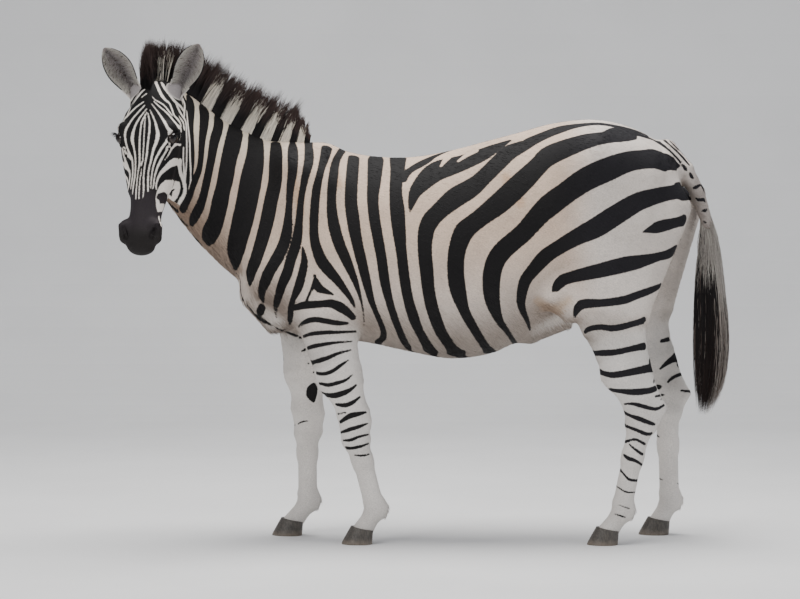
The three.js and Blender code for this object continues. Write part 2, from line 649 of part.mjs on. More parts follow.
// ---- Mane: an upright brush along the crest, over the poll, to the forelock -----------------------
const maneHeight = smoothCurve([[0, 36], [0.06, 110], [0.15, 140], [0.35, 146], [0.7, 136], [0.86, 130], [0.95, 130], [1, 96]]);
const maneLine = new THREE.CatmullRomCurve3([
  ...[-290, -380, -480, -580, -670, -750, -830].map((s) => bend(s, 0, BARREL_TOP(s))),
  headPoint(-26, 0, 8),
  headPoint(20, 0, 54),
  headPoint(56, 0, 76),
]);

function mane() {
  const levels = 13;
  const rings = Array.from({ length: levels }, (_, i) => {
    const t = i / (levels - 1);
    const foot = maneLine.getPointAt(t);
    const run = maneLine.getTangentAt(t);
    const up = v3(lerp(0.4, -0.04, THREE.MathUtils.smoothstep(t, 0.55, 0.9)), 0, 1);
    const lean = up.clone().addScaledVector(run, -0.2 * up.dot(run)).normalize();
    const side = run.clone().cross(lean).normalize();
    const height = maneHeight(t);
    const root = lerp(17, 27, t);
    const section = [[-1, -0.3], [-0.95, 0.3], [-0.62, 0.75], [-0.25, 1], [0.25, 1], [0.62, 0.75], [0.95, 0.3], [1, -0.3]];
    return section.map(([w, h]) => {
      return foot.clone().addScaledVector(side, w * root).addScaledVector(lean, h * (h < 0 ? 60 : height));
    });
  });
  return loft(rings);
}
const maneCut = mane().subtract(headGuard).subtract(guard(neckBlank)).subtract(guard(trunkBlank));
addPart("mane", maneCut.subtract(ears.left).subtract(ears.right), COLOURS.mane, 0.95);

// ---- Tail: the striped dock, and the long hair that hangs from it ---------------------------------
const TAIL_BOX = [[820, -80, 970], [1050, 80, 1330]];
const dock = (x, y, z) => dockMasses.reduce((d, m) => blend(d, m.distance(x, y, z), m.k), 1e3);
const tuftTop = { at: v3(0, 0, 1024), normal: v3(0, 0, -1) };
const dockBlank = meshField(dock, ...TAIL_BOX, CELL.dock, 0).intersect(before(tuftTop));
addPart("tail_dock", dockBlank.subtract(guard(trunkBlank)), COLOURS.coat);

// [height, x, half length, half width] of the tail's hair
const TUFT = [
  [1024, 980, 26, 22],
  [936, 991, 33, 27],
  [828, 992, 47, 34],
  [711, 997, 55, 40],
  [620, 999, 57, 41],
  [530, 997, 50, 36],
  [450, 990, 36, 27],
  [392, 974, 10, 8],
];
const tuftSides = 12;
const tuftRings = TUFT.map(([z, x, long, wide]) =>
  Array.from({ length: tuftSides }, (_, i) => {
    const a = (2 * Math.PI * i) / tuftSides;
    return v3(x + long * Math.cos(a), wide * Math.sin(a), z);
  }),
);
addPart("tail_tuft", loft(tuftRings).intersect(beyond(tuftTop)), COLOURS.mane, 0.95);

export default group;
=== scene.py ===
"""A plains zebra, standing at rest with its head turned to its left: a still, life-size display model.

The shapes are worked out in millimetres, with the body along X, the head towards -X and the
ground at z = 0, and go into the meshes in metres.
"""
import math

import bpy
import numpy as np
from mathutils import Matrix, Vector
from mathutils.bvhtree import BVHTree


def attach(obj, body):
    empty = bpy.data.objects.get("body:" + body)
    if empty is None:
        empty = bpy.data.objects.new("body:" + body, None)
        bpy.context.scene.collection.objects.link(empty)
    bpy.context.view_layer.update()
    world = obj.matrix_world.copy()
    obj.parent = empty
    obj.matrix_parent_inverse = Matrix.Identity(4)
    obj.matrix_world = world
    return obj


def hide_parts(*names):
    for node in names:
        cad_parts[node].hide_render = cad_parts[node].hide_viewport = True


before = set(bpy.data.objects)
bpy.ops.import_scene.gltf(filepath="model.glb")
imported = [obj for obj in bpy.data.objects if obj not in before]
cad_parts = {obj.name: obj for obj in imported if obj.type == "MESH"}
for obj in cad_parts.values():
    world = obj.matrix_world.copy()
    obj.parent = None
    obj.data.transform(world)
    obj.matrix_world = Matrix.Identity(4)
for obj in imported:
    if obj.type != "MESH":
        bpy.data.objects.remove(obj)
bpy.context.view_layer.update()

# ---- Skin ------------------------------------------------------------------------------------------
# The zebra's hide, from the lips to the crowns of the hooves, over its muscles and bones. It is one
# closed piece with no seam, a coat's depth inside the outline of the short hair that covers it.
METRE = 0.001  # metres in a millimetre
MIDDLE = np.array([61.0, -89.5, 0.0])  # the plan point under the middle of the whole animal
LEFT, RIGHT = -1, 1  # the sign of y on each side of the body

BEND_START = -360.0  # where the neck leaves the trunk's straight plan line
BEND_RADIUS = 430.0
BEND_ANGLE = math.radians(62)

POLL = np.array([-763.0, -242.0, 1428.0])  # the top of the head, between the ears
HEAD_YAW = math.radians(77)
HEAD_TILT = math.radians(18)

WITHERS = 1272
# [plan distance, top, bottom, half width, how much narrower the top is]
BARREL = [
    [-900, 1466, 1230, 60, 0.2],
    [-830, 1466, 1150, 70, 0.25],
    [-736, 1448, 1050, 75, 0.34],
    [-654, 1408, 962, 81, 0.38],
    [-574, 1356, 886, 92, 0.38],
    [-490, 1314, 812, 112, 0.36],
    [-410, 1284, 716, 138, 0.34],
    [-325, WITHERS, 664, 166, 0.32],
    [-230, 1262, 652, 196, 0.26],
    [-100, 1236, 634, 224, 0.18],
    [30, 1231, 606, 243, 0.12],
    [160, 1252, 584, 251, 0.1],
    [290, 1286, 600, 244, 0.1],
    [385, 1311, 646, 230, 0.1],
    [480, 1337, 716, 219, 0.1],
    [590, 1351, 800, 208, 0.1],
    [675, 1344, 860, 192, 0.1],
    [760, 1318, 930, 164, 0.1],
    [835, 1276, 1000, 116, 0.1],
]
REAR_ROUND = 60
# [distance down the head, front profile, jaw profile, half width, how much narrower the jaw is]
SKULL = [
    [0, 34, -84, 64, -0.05],
    [50, 66, -128, 80, 0.0],
    [110, 84, -154, 90, 0.08],
    [165, 84, -156, 92, 0.12],
    [225, 73, -144, 84, 0.08],
    [280, 62, -126, 70, 0.0],
    [330, 54, -106, 57, -0.04],
    [380, 48, -84, 50, -0.02],
    [430, 46, -66, 54, 0.0],
    [464, 44, -58, 54, 0.04],
    [494, 33, -46, 43, 0.08],
]
CROWN_ROUND = 46
LIP_ROUND = 26


def smooth_curve(stations):
    """Cubic pieces through the stations' first column, each slope the mean of the chords beside it."""
    table = np.array(stations, float)
    x, y = table[:, 0], table[:, 1:]
    slope = np.empty_like(y)
    slope[0] = (y[1] - y[0]) / (x[1] - x[0])
    slope[-1] = (y[-1] - y[-2]) / (x[-1] - x[-2])
    slope[1:-1] = (y[2:] - y[:-2]) / (x[2:] - x[:-2])[:, None]

    def curve(at):
        at = np.clip(np.atleast_1d(np.asarray(at, float)), x[0], x[-1])
        i = np.clip(np.searchsorted(x, at, side="right") - 1, 0, len(x) - 2)
        h = (x[i + 1] - x[i])[:, None]
        t = (at - x[i])[:, None] / h
        u = 1 - t
        ends = y[i] * u * u * (1 + 2 * t) + y[i + 1] * t * t * (3 - 2 * t)
        return ends + h * t * u * (slope[i] * u - slope[i + 1] * t)

    return curve


BARREL_CURVE = smooth_curve(BARREL)
SKULL_CURVE = smooth_curve(SKULL)


def smoothstep(value, low, high):
    """3t^2 - 2t^3 of where the value lies between low and high."""
    t = np.clip((value - low) / (high - low), 0, 1)
    return t * t * (3 - 2 * t)


def mix(a, b, t):
    return a + (b - a) * t


def blend(a, b, k):
    """The smaller of two distances, rounded by h^2 k / 4 over a band k wide, h = 1 - |a - b| / k."""
    h = np.maximum(k - np.abs(a - b), 0) / k
    return np.minimum(a, b) - h * h * k / 4


def rounded(offsets, radii):
    """Distance to an ellipse-like body: k0 (k0 - 1) / k1, with k0 = |o / r| and k1 = |o / r^2|."""
    k0 = sum((o / r) ** 2 for o, r in zip(offsets, radii)) ** 0.5
    k1 = sum((o / r**2) ** 2 for o, r in zip(offsets, radii)) ** 0.5
    inner = -np.minimum.reduce(np.broadcast_arrays(*radii))
    return np.where(k0 < 1e-3, inner, k0 * (k0 - 1) / np.maximum(k1, 1e-9))


def bend(s, n, z):
    """Points from plan distance s, offset n and height: straight, then an arc to the left, then straight."""
    s, n, z = np.broadcast_arrays(*(np.asarray(v, float) for v in (s, n, z)))
    phi = np.clip((BEND_START - s) / BEND_RADIUS, 0, BEND_ANGLE)
    past = np.where(s < BEND_START, BEND_START - BEND_RADIUS * phi - s, 0)
    reach = BEND_RADIUS + n
    x = BEND_START - reach * np.sin(phi) - past * np.cos(phi)
    y = -BEND_RADIUS + reach * np.cos(phi) - past * np.sin(phi)
    straight = s >= BEND_START
    return np.stack([np.where(straight, s, x), np.where(straight, n, y), z], -1)


def unbend(points):
    """Plan distance, offset and height of points, the inverse of bend."""
    x, y = points[:, 0], points[:, 1]
    vx, vy = x - BEND_START, y + BEND_RADIUS
    phi = np.arctan2(-vx, vy)
    c, s = math.cos(BEND_ANGLE), math.sin(BEND_ANGLE)
    ex = x - (BEND_START - BEND_RADIUS * s)
    ey = y - (BEND_RADIUS * c - BEND_RADIUS)
    arc = phi <= BEND_ANGLE
    past = BEND_START - BEND_RADIUS * BEND_ANGLE + ex * c + ey * s
    along = np.where(arc, BEND_START - BEND_RADIUS * phi, past)
    off = np.where(arc, np.hypot(vx, vy) - BEND_RADIUS, -ex * s + ey * c)
    straight = x >= BEND_START
    return np.stack([np.where(straight, x, along), np.where(straight, y, off), points[:, 2]], -1)


def barrel(points):
    """Distance to the trunk and neck: an egg-shaped ellipse swept along the bent plan line."""
    s, n, z = unbend(points).T
    front, rear = BARREL[0][0], BARREL[-1][0]
    at = np.clip(s, front, rear)

    def level(g):
        top, bottom, half, egg = BARREL_CURVE(g).T
        q = np.clip((2 * z - top - bottom) / (top - bottom), -1, 1)
        radii = [half * (1 - egg * q), (top - bottom) / 2, np.full_like(z, REAR_ROUND)]
        return rounded([n, z - (top + bottom) / 2, s - at], radii)

    step = 4
    d = level(at)
    lean = (level(np.clip(at + step, front, rear)) - d) / step
    return d / np.hypot(1, lean)


head_ahead = np.array([-math.cos(HEAD_YAW), -math.sin(HEAD_YAW), 0])
head_up = np.array([0, 0, 1])
HEAD_DOWN = head_ahead * math.sin(HEAD_TILT) - head_up * math.cos(HEAD_TILT)
HEAD_FRONT = head_ahead * math.cos(HEAD_TILT) + head_up * math.sin(HEAD_TILT)
HEAD_LEFT = np.array([math.sin(HEAD_YAW), -math.cos(HEAD_YAW), 0])
HEAD_AXES = np.stack([HEAD_DOWN, HEAD_LEFT, HEAD_FRONT])


def head_point(down, out, front):
    """The point that lies down the head, out to its left and to its front by these distances."""
    return POLL + np.stack(np.broadcast_arrays(down, out, front), -1) @ HEAD_AXES


def head_place(points):
    """How far down, out and to the front of the head's frame each point lies."""
    return (points - POLL) @ HEAD_AXES.T


def skull(points):
    down, out, front = head_place(points).T
    at = np.clip(down, 0, SKULL[-1][0])
    top, jaw, half, egg = SKULL_CURVE(at).T
    lift = front - (top + jaw) / 2
    deep = (top - jaw) / 2
    wide = half * (1 + egg * np.clip(lift / deep, -1, 1))
    return rounded([out, lift, down - at], [wide, deep, np.where(down < 0, CROWN_ROUND, LIP_ROUND)])


class Mass:
    """A tapered rounded body from a to b, whose ends have [sideways, fore-and-aft] radii.

    It joins what came before it over a band k wide, or is cut out of it where carve is set.
    """

    MARGIN = 60  # past this distance a mass changes nothing

    def __init__(self, a, b, ra, rb, k, side=(0, 1, 0), carve=False):
        self.a, b = np.array(a, float), np.array(b, float)
        self.length = np.linalg.norm(b - self.a)
        self.along = (b - self.a) / self.length
        side = np.array(side, float)
        across = side - self.along * (side @ self.along)
        self.across = across / np.linalg.norm(across)
        self.fore = np.cross(self.along, self.across)
        self.ra, self.rb, self.k, self.carve = ra, rb, k, carve
        self.mid = (self.a + b) / 2
        self.reach = self.length / 2 + max(*ra, *rb) + k + self.MARGIN

    def distance(self, points):
        p = points - self.a
        h = p @ self.along
        on = np.clip(h, 0, self.length)
        t = on / self.length
        rs = mix(self.ra[0], self.rb[0], t)
        rf = mix(self.ra[1], self.rb[1], t)
        return rounded([p @ self.across, p @ self.fore, h - on], [rs, rf, np.minimum(rs, rf)])


def join(d, points, masses):
    """Blends the masses into distances d, each only where it is near enough to matter."""
    for m in masses:
        near = np.flatnonzero(((points - m.mid) ** 2).sum(1) < m.reach**2)
        if not len(near):
            continue
        there = m.distance(points[near])
        d[near] = -blend(-d[near], there, m.k) if m.carve else blend(d[near], there, m.k)
    return d


def head_mass(side, a, b, ra, rb, k, carve=False):
    a, b = head_point(a[0], a[1] * side, a[2]), head_point(b[0], b[1] * side, b[2])
    return Mass(a, b, ra, rb, k, HEAD_LEFT, carve)


head_masses = []
for side in (1, -1):
    head_masses += [
        head_mass(side, [132, 70, 54], [176, 70, 50], [25, 26], [23, 22], 18),  # brow and eye socket
        head_mass(side, [92, 58, 18], [138, 80, 20], [30, 34], [20, 22], 22),  # temple
        head_mass(side, [185, 71, 4], [310, 47, -12], [15, 17], [10, 12], 30),  # cheek ridge
        head_mass(side, [106, 50, -92], [212, 50, -86], [38, 62], [34, 52], 30),  # cheek muscle
        head_mass(side, [436, 46, 18], [470, 47, 12], [24, 26], [23, 23], 16),  # nostril wing
        head_mass(side, [20, 50, -8], [-16, 64, -14], [34, 34], [24, 26], 24),  # ear root
    ]
head_masses += [
    head_mass(1, [474, 0, 6], [494, 0, 2], [48, 34], [40, 28], 18),  # upper lip
    head_mass(1, [466, 0, -46], [486, 0, -40], [35, 22], [30, 18], 14),  # chin and lower lip
]

# A leg's joints are (x, z) in the side view, and its hoof is the x of its sole's middle. The seat is
# where the buttock starts, with its fore-and-aft radius. OUT is how far each pair of legs stands from
# the middle of the body.
FORE_OUT, HIND_OUT = 112, 130
FORE = {
    LEFT: dict(elbow=(-240, 700), knee=(-147, 374), fetlock=(-80, 116), hoof=-132),
    RIGHT: dict(elbow=(-306, 700), knee=(-302, 378), fetlock=(-300, 116), hoof=-362),
}
HIND = {
    LEFT: dict(seat=(846, 1075, 82), stifle=(646, 716), hock=(768, 426), fetlock=(704, 112), hoof=648),
    RIGHT: dict(seat=(892, 1070, 84), stifle=(740, 726), hock=(868, 450), fetlock=(878, 114), hoof=832),
}
HOOF_HEIGHT = 50
HOOF_RAKE = 16  # how far the crown lies behind the sole


def pastern(fetlock, hoof, out):
    """The stretch from the fetlock down to the hoof's crown, the same on every leg."""
    fx, fz = fetlock
    crown = hoof + HOOF_RAKE - 4
    return [
        Mass((fx + 6, out, fz + 6), (fx + 2, out, fz - 12), [30, 38], [29, 35], 22),  # fetlock joint
        Mass((fx - 4, out, fz - 16), (crown, out, HOOF_HEIGHT - 10), [26, 28], [32, 35], 20),  # pastern
        Mass((fx + 30, out, fz - 4), (fx + 26, out, fz - 22), [15, 14], [12, 10], 16),  # ergot
    ]


def foreleg(side, elbow, knee, fetlock, hoof):
    (ex, ez), (kx, kz), (fx, fz) = elbow, knee, fetlock
    out = side * FORE_OUT

    def between(p, q, t):
        return (mix(p[0], q[0], t), out, mix(p[1], q[1], t))

    return [
        Mass((-262, side * 96, 1150), (-404, side * 128, 880), [46, 118], [58, 92], 60),  # shoulder blade
        Mass((-404, side * 126, 868), (ex + 12, side * 126, 752), [60, 76], [56, 84], 50),  # upper arm
        Mass((ex, out * 1.08, ez + 36), between(elbow, knee, 0.55), [62, 96], [47, 70], 40),
        Mass(between(elbow, knee, 0.5), (kx, out, kz + 46), [46, 68], [36, 49], 30),
        Mass((ex + 74, out * 1.04, ez + 44), (ex + 70, out, ez - 10), [34, 34], [28, 30], 36),  # elbow point
        Mass((kx, out, kz + 34), (kx + 6, out, kz - 36), [39, 52], [36, 48], 26),  # knee
        Mass((kx + 44, out, kz + 18), (kx + 42, out, kz + 2), [18, 14], [16, 12], 18),  # bone behind it
        # The cannon bone, with its tendons, in two lengths.
        Mass((mix(kx, fx, 0.14), out, kz - 52), between(knee, fetlock, 0.45), [28, 40], [23, 33], 26),
        Mass(between(knee, fetlock, 0.4), (mix(kx, fx, 0.9), out, fz + 24), [23, 33], [24, 33], 22),
        *pastern(fetlock, hoof, out),
    ]


def hindleg(side, seat, stifle, hock, fetlock, hoof):
    (bx, bz, deep), (sx, sz), (hx, hz), (fx, fz) = seat, stifle, hock, fetlock
    out = side * HIND_OUT

    def between(p, q, t, dx=0):
        return (mix(p[0], q[0], t) + dx, out, mix(p[1], q[1], t))

    return [
        Mass((600, side * 118, 1190), (740, side * 104, 1120), [104, 132], [96, 132], 70),  # rump muscle
        Mass((690, side * 118, 1020), (sx + 6, side * 142, sz + 50), [92, 176], [70, 108], 60),  # thigh
        Mass((bx, side * 76, bz), (mix(sx, hx, 0.8) + 4, out, sz + 30), [66, deep], [50, 46], 50),  # buttock
        Mass((sx + 30, out, sz - 8), between(stifle, hock, 0.6, 2), [58, 100], [43, 75], 40),  # second thigh
        Mass(between(stifle, hock, 0.55, -5), (hx - 12, out, hz + 34), [44, 76], [33, 51], 30),
        # The kneecap.
        Mass((sx - 32, out * 1.08, sz + 4), (sx - 30, out * 1.05, sz - 26), [34, 36], [28, 34], 36),
        Mass((hx - 12, out, hz + 150), (hx + 54, out, hz + 12), [18, 26], [17, 20], 26),  # Achilles tendon
        Mass((hx - 4, out, hz + 26), (hx - 6, out, hz - 34), [37, 56], [33, 50], 26),  # hock
        Mass((hx + 56, out, hz + 10), (hx + 22, out, hz - 50), [17, 20], [18, 26], 22),  # point of the hock
        # The cannon bone, in two lengths.
        Mass((mix(hx, fx, 0.14), out, hz - 58), between(hock, fetlock, 0.5), [28, 42], [24, 34], 26),
        Mass(between(hock, fetlock, 0.45), (mix(hx, fx, 0.92), out, fz + 26), [24, 34], [25, 34], 22),
        *pastern(fetlock, hoof, out),
    ]


DOCK_JOIN, DOCK_BEND = 30, 8  # how widely the dock's root and its bends are rounded
DOCK = [(852, 1248, 38), (910, 1190, 30), (953, 1118, 24), (985, 1010, 21)]  # x, z, radius at bends
dock_masses = []
for i, ((x0, z0, r0), (x1, z1, r1)) in enumerate(zip(DOCK, DOCK[1:])):
    rounding = DOCK_BEND if i else DOCK_JOIN
    dock_masses.append(Mass((x0, 0, z0), (x1, 0, z1), [r0, r0], [r1, r1], rounding))

body_masses = []
for side in (LEFT, RIGHT):
    body_masses += [
        Mass((-452, side * 58, 800), (-400, side * 62, 716), [60, 62], [52, 44], 50),  # breast
        Mass((-360, side * 40, 1196), (-250, side * 36, 1212), [44, 60], [44, 46], 60),  # withers
        Mass((505, side * 150, 800), (548, side * 138, 744), [34, 56], [30, 46], 60),  # flank fold
    ]
body_masses.append(Mass((420, 0, 676), (520, 0, 712), [60, 40], [60, 40], 60))  # sheath
for leg, joints in ((foreleg, FORE), (hindleg, HIND)):
    for side in (LEFT, RIGHT):
        body_masses += leg(side, **joints[side])

# On the head a side is 1 for its left and -1 for its right.
EYE = dict(radius=19.5, down=159, out=80, front=43)
LID = 2.2  # an eyelid's thickness
SLIT_HALF, UPPER_GAPE, LOWER_GAPE = 17, 9.0, 8.5  # the opening between the lids
eye_centres = {side: head_point(EYE["down"], side * EYE["out"], EYE["front"]) for side in (1, -1)}


def eye_axes(side):
    """Where an eye looks, and the long and short directions of the slit between its lids."""
    look = np.array([0.0, side * 0.85, 0.527])
    look /= np.linalg.norm(look)
    long = np.array([0.67, side * -0.37, 0.64])
    long -= look * (long @ look)
    long /= np.linalg.norm(long)
    return look, long, np.cross(long, look) * side


def eyelids(points, d):
    """Lids: a shell a lid's thickness over the eyeball, opened by a slit that narrows to its corners.

    The shell joins the face in a crease, an oval fold round the eye that fades behind the lids.
    """
    reach, crease_round, crease_half = 75, 25, 1.2
    for side in (1, -1):
        near = np.flatnonzero(((points - eye_centres[side]) ** 2).sum(1) < reach**2)
        if not len(near):
            continue
        p = head_place(points[near]) - head_place(eye_centres[side][None])
        look, long, short = eye_axes(side)
        ahead, u, v = p @ look, p @ long, p @ short
        radius = np.linalg.norm(p, axis=1)
        shell = blend(d[near], radius - (EYE["radius"] + LID), 7)
        crease = np.abs(np.hypot(u, (v + 3) * 1.25) - crease_round) - crease_half
        shell = -blend(-shell, np.maximum(crease, 8 - ahead), 5)
        narrowing = np.sqrt(np.clip(1 - (u / SLIT_HALF) ** 2, 0.0, 1))
        gape = np.where(v > 0, UPPER_GAPE, LOWER_GAPE) * narrowing
        slit = np.maximum(np.abs(v) - gape, np.abs(u) - SLIT_HALF)
        opening = np.maximum(slit, 4 - ahead)
        hollow = radius - (EYE["radius"] - 1.5)
        d[near] = -blend(-shell, np.minimum(opening, hollow + 40), 1.2)
    return d


head_details = []
for side in (1, -1):
    head_details += [
        head_mass(side, [451, 51, 40], [473, 41, 30], [5.5, 15], [4.5, 12], 8, carve=True),  # nostril
        head_mass(side, [440, 60, 38], [468, 56, 30], [8, 10], [8, 8], 14),  # its rim
        head_mass(side, [478, 44, -30], [500, 6, -26], [2.5, 3.5], [2.5, 3.5], 6, carve=True),  # mouth
        head_mass(side, [425, 52, -38], [478, 44, -30], [2.2, 3.2], [2.5, 3.2], 6, carve=True),
        head_mass(side, [196, 74, 40], [214, 66, 36], [4, 7], [4, 6], 12, carve=True),  # tear hollow
        head_mass(side, [132, 74, 42], [146, 86, 24], [15, 15], [12, 12], 16),  # bony rim over the eye
    ]


COAT_DEPTH = 2.5  # how far the skin lies under the outline of the coat
HEAD_REACH, DETAIL_REACH = POLL[0] + 420, POLL[0] + 260  # where the head and its details matter, x
DOCK_REACH = 740
HEAD_JOIN = 34  # how widely the head is rounded into the neck


def flesh(points):
    """Distance to the outline of the flesh: trunk, neck, legs and head, blended together."""
    d = join(barrel(points), points, body_masses)
    ahead = np.flatnonzero(points[:, 0] <= HEAD_REACH)
    if len(ahead):
        near = points[ahead]
        d[ahead] = blend(d[ahead], join(skull(near), near, head_masses), HEAD_JOIN)
    return d


def dock(points):
    """Distance to the fleshy dock of the tail."""
    return join(np.full(len(points), 1e3), points, dock_masses)


def hide(points):
    """Distance to the skin, with the dock of the tail, the lids, nostrils and lips, inside the coat."""
    d = flesh(points)
    ahead = np.flatnonzero(points[:, 0] <= DETAIL_REACH)
    if len(ahead):
        near = points[ahead]
        d[ahead] = eyelids(near, join(d[ahead], near, head_details))
    behind = np.flatnonzero(points[:, 0] > DOCK_REACH)
    if len(behind):
        near = points[behind]
        d[behind] = blend(d[behind], dock(near), DOCK_JOIN)
    return d + COAT_DEPTH


def slope_of(field, points):
    """The field's gradient by central differences, a millimetre each way."""
    return np.stack([field(points + s) - field(points - s) for s in np.eye(3)], -1) / 2


def settle(field, points, passes=3, most=8.0):
    """Moves points onto the surface where the field is zero, along its gradient."""
    for _ in range(passes):
        g = slope_of(field, points)
        size = np.maximum((g**2).sum(1), 0.2)
        points = points - g * np.clip(field(points) / size, -most, most)[:, None]
    return points


def surface_net(field, low, high, cell):
    """A closed mesh of the field's surface: a vertex in each cell it crosses, a quad for each crossed edge.

    The grid's values are found at every second point first, and again exactly near the surface.
    """
    count = [2 * math.ceil((b - a) / cell / 2) + 1 for a, b in zip(low, high)]
    axes = [a + cell * np.arange(n) for a, n in zip(low, count)]
    coarse = np.stack(np.meshgrid(*(a[::2] for a in axes), indexing="ij"), -1)
    values = field(coarse.reshape(-1, 3)).reshape(coarse.shape[:3])
    for axis in range(3):
        v = np.moveaxis(values, axis, 0)
        fine = np.empty((2 * len(v) - 1,) + v.shape[1:])
        fine[::2] = v
        fine[1::2] = (v[1:] + v[:-1]) / 2
        values = np.moveaxis(fine, 0, axis)
    near = np.argwhere(np.abs(values) < 2.6 * cell)
    at = np.stack([axes[i][near[:, i]] for i in range(3)], -1)
    values[tuple(near.T)] = field(at)

    inside = values < 0
    held = inside.astype(int)
    for axis in range(3):
        v = np.moveaxis(held, axis, 0)
        held = np.moveaxis(v[1:] + v[:-1], 0, axis)
    crossed = (held > 0) & (held < 8)
    number = np.full(crossed.shape, -1)
    number[crossed] = np.arange(crossed.sum())
    total = np.zeros((crossed.sum(), 4))
    quads = []
    for axis in range(3):
        u, w = (axis + 1) % 3, (axis + 2) % 3
        a = np.moveaxis(inside, axis, 0)
        here = np.argwhere(np.moveaxis(a[1:] != a[:-1], 0, axis))
        there = here.copy()
        there[:, axis] += 1
        va, vb = values[tuple(here.T)], values[tuple(there.T)]
        point = np.stack([axes[i][here[:, i]] for i in range(3)], -1)
        point[:, axis] += va / (va - vb) * cell
        around = []
        for du, dw in ((0, 0), (1, 0), (1, 1), (0, 1)):
            c = here.copy()
            c[:, u] -= du
            c[:, w] -= dw
            around.append(number[tuple(c.T)])
            np.add.at(total, around[-1], np.c_[point, np.ones(len(point))])
        quad = np.stack(around, 1)
        quads.append(np.where((va < 0)[:, None], quad, quad[:, ::-1]))
    points = settle(field, total[:, :3] / total[:, 3:])
    quads = np.concatenate(quads)
    short = np.linalg.norm(points[quads[:, 0]] - points[quads[:, 2]], axis=1)
    short = short <= np.linalg.norm(points[quads[:, 1]] - points[quads[:, 3]], axis=1)
    first = np.where(short[:, None], quads[:, [0, 1, 2]], quads[:, [1, 2, 3]])
    second = np.where(short[:, None], quads[:, [0, 2, 3]], quads[:, [1, 3, 0]])
    return points, np.concatenate([first, second])


def refine(points, triangles, chosen, field):
    """Cuts each chosen triangle in four at its edges' middles, and those beside it to match."""
    edges = np.sort(triangles[:, [[0, 1], [1, 2], [2, 0]]].reshape(-1, 2), axis=1)
    unique, number = np.unique(edges, axis=0, return_inverse=True)
    number = number.reshape(-1, 3)
    cut = np.zeros(len(unique), bool)
    cut[number[chosen].ravel()] = True
    middles = settle(field, points[unique[cut]].mean(1), 2, 3.0)
    at = np.full(len(unique), -1)
    at[cut] = len(points) + np.arange(cut.sum())
    mid = at[number]
    points = np.concatenate([points, middles])
    cuts = (mid >= 0).sum(1)
    made = [triangles[cuts == 0]]
    rows = np.arange(3)

    def turned(kept, start):
        """Rows of corners and edge middles, turned so that each begins at its own start."""
        order = (start[:, None] + rows) % 3
        pick = np.flatnonzero(kept)[:, None]
        return triangles[pick, order].T, mid[pick, order].T

    one = cuts == 1
    (a, b, c), (m, _, _) = turned(one, np.argmax(mid[one] >= 0, axis=1))
    made += [np.stack([a, m, c], 1), np.stack([m, b, c], 1)]
    two = cuts == 2
    (a, b, c), (_, n, m) = turned(two, np.argmin(mid[two] >= 0, axis=1))
    made += [np.stack([a, b, n], 1), np.stack([a, n, m], 1), np.stack([m, n, c], 1)]
    (a, b, c), (l, m, n) = turned(cuts == 3, np.zeros((cuts == 3).sum(), int))
    made += [np.stack(s, 1) for s in ([a, l, n], [l, b, m], [n, m, c], [l, m, n])]
    return points, np.concatenate(made)


SKIN_CELL = 14.5
SKIN_BOX = (-970, -560, -20), (1060, 330, 1500)
skin_points, skin_faces = surface_net(hide, *SKIN_BOX, SKIN_CELL)


def from_eyes(p):
    """Distance to the nearer eye's middle."""
    return np.minimum.reduce([np.linalg.norm(p - c, axis=1) for c in eye_centres.values()])


def needs_detail(p, level):
    """Where the skin is cut finer: lower legs and head, then the face, then round eyes and lips."""
    down, out, front = head_place(p).T
    by_head = (np.abs(out) < 120) & (p[:, 1] < -150)
    face = by_head & (down > -10) & (front > -30)
    lower_leg = (p[:, 2] < 560) & (p[:, 2] > HOOF_HEIGHT - 8)
    head = by_head & (down > -70) & (front > -170)
    return [lower_leg | head, face, (from_eyes(p) < 34) | face & (down > 420)][level]


for level in range(3):
    chosen = needs_detail(skin_points[skin_faces].mean(1), level)
    skin_points, skin_faces = refine(skin_points, skin_faces, chosen, hide)


def place(points):
    """Metres in the frame, from the model's millimetres."""
    return (np.asarray(points) - MIDDLE) * METRE


def make_mesh(name, points, faces, smooth=True):
    """A new object at the origin, with its place in its mesh."""
    mesh = bpy.data.meshes.new(name)
    faces = np.asarray(faces)
    mesh.vertices.add(len(points))
    mesh.vertices.foreach_set("co", place(points).astype(np.float32).ravel())
    sides = faces.shape[1]
    mesh.loops.add(faces.size)
    mesh.loops.foreach_set("vertex_index", faces.ravel().astype(np.int32))
    mesh.polygons.add(len(faces))
    mesh.polygons.foreach_set("loop_start", np.arange(0, faces.size, sides, dtype=np.int32))
    mesh.polygons.foreach_set("use_smooth", np.full(len(faces), smooth))
    mesh.update(calc_edges=True)
    mesh.validate()
    made = bpy.data.objects.new(name, mesh)
    bpy.context.scene.collection.objects.link(made)
    return made


def give(made, name, kind, values):
    """Stores one value for each vertex as a named attribute."""
    layer = made.data.attributes.new(name, kind, "POINT")
    values = np.asarray(values, np.float32)
    if kind == "FLOAT_COLOR":
        layer.data.foreach_set("color", np.c_[values, np.ones(len(values), np.float32)].ravel())
    else:
        layer.data.foreach_set("value", values)


# The markings are drawn on a plan: the animal seen from PLAN_VIEW, 800 units wide, y downwards. Each
# stroke is a list of (x, y, half width), dark on the body and pale on the face. It is cast onto the
# skin with both its edges, and where it ends at the outline it walks on round the form. The body's
# strokes are repeated on its other side.
PLAN_VIEW = np.array([0.0, -10000.0, 1297.0])
PLAN_AIM = np.array([0.0, 0.0, 773.0])
PLAN_WIDTH, PLAN_HEIGHT = 800, 599
PLAN_ANGLE = math.radians(14.6)  # what the plan's width takes in
PLAN_FOCUS = PLAN_WIDTH / 2 / math.tan(PLAN_ANGLE / 2)

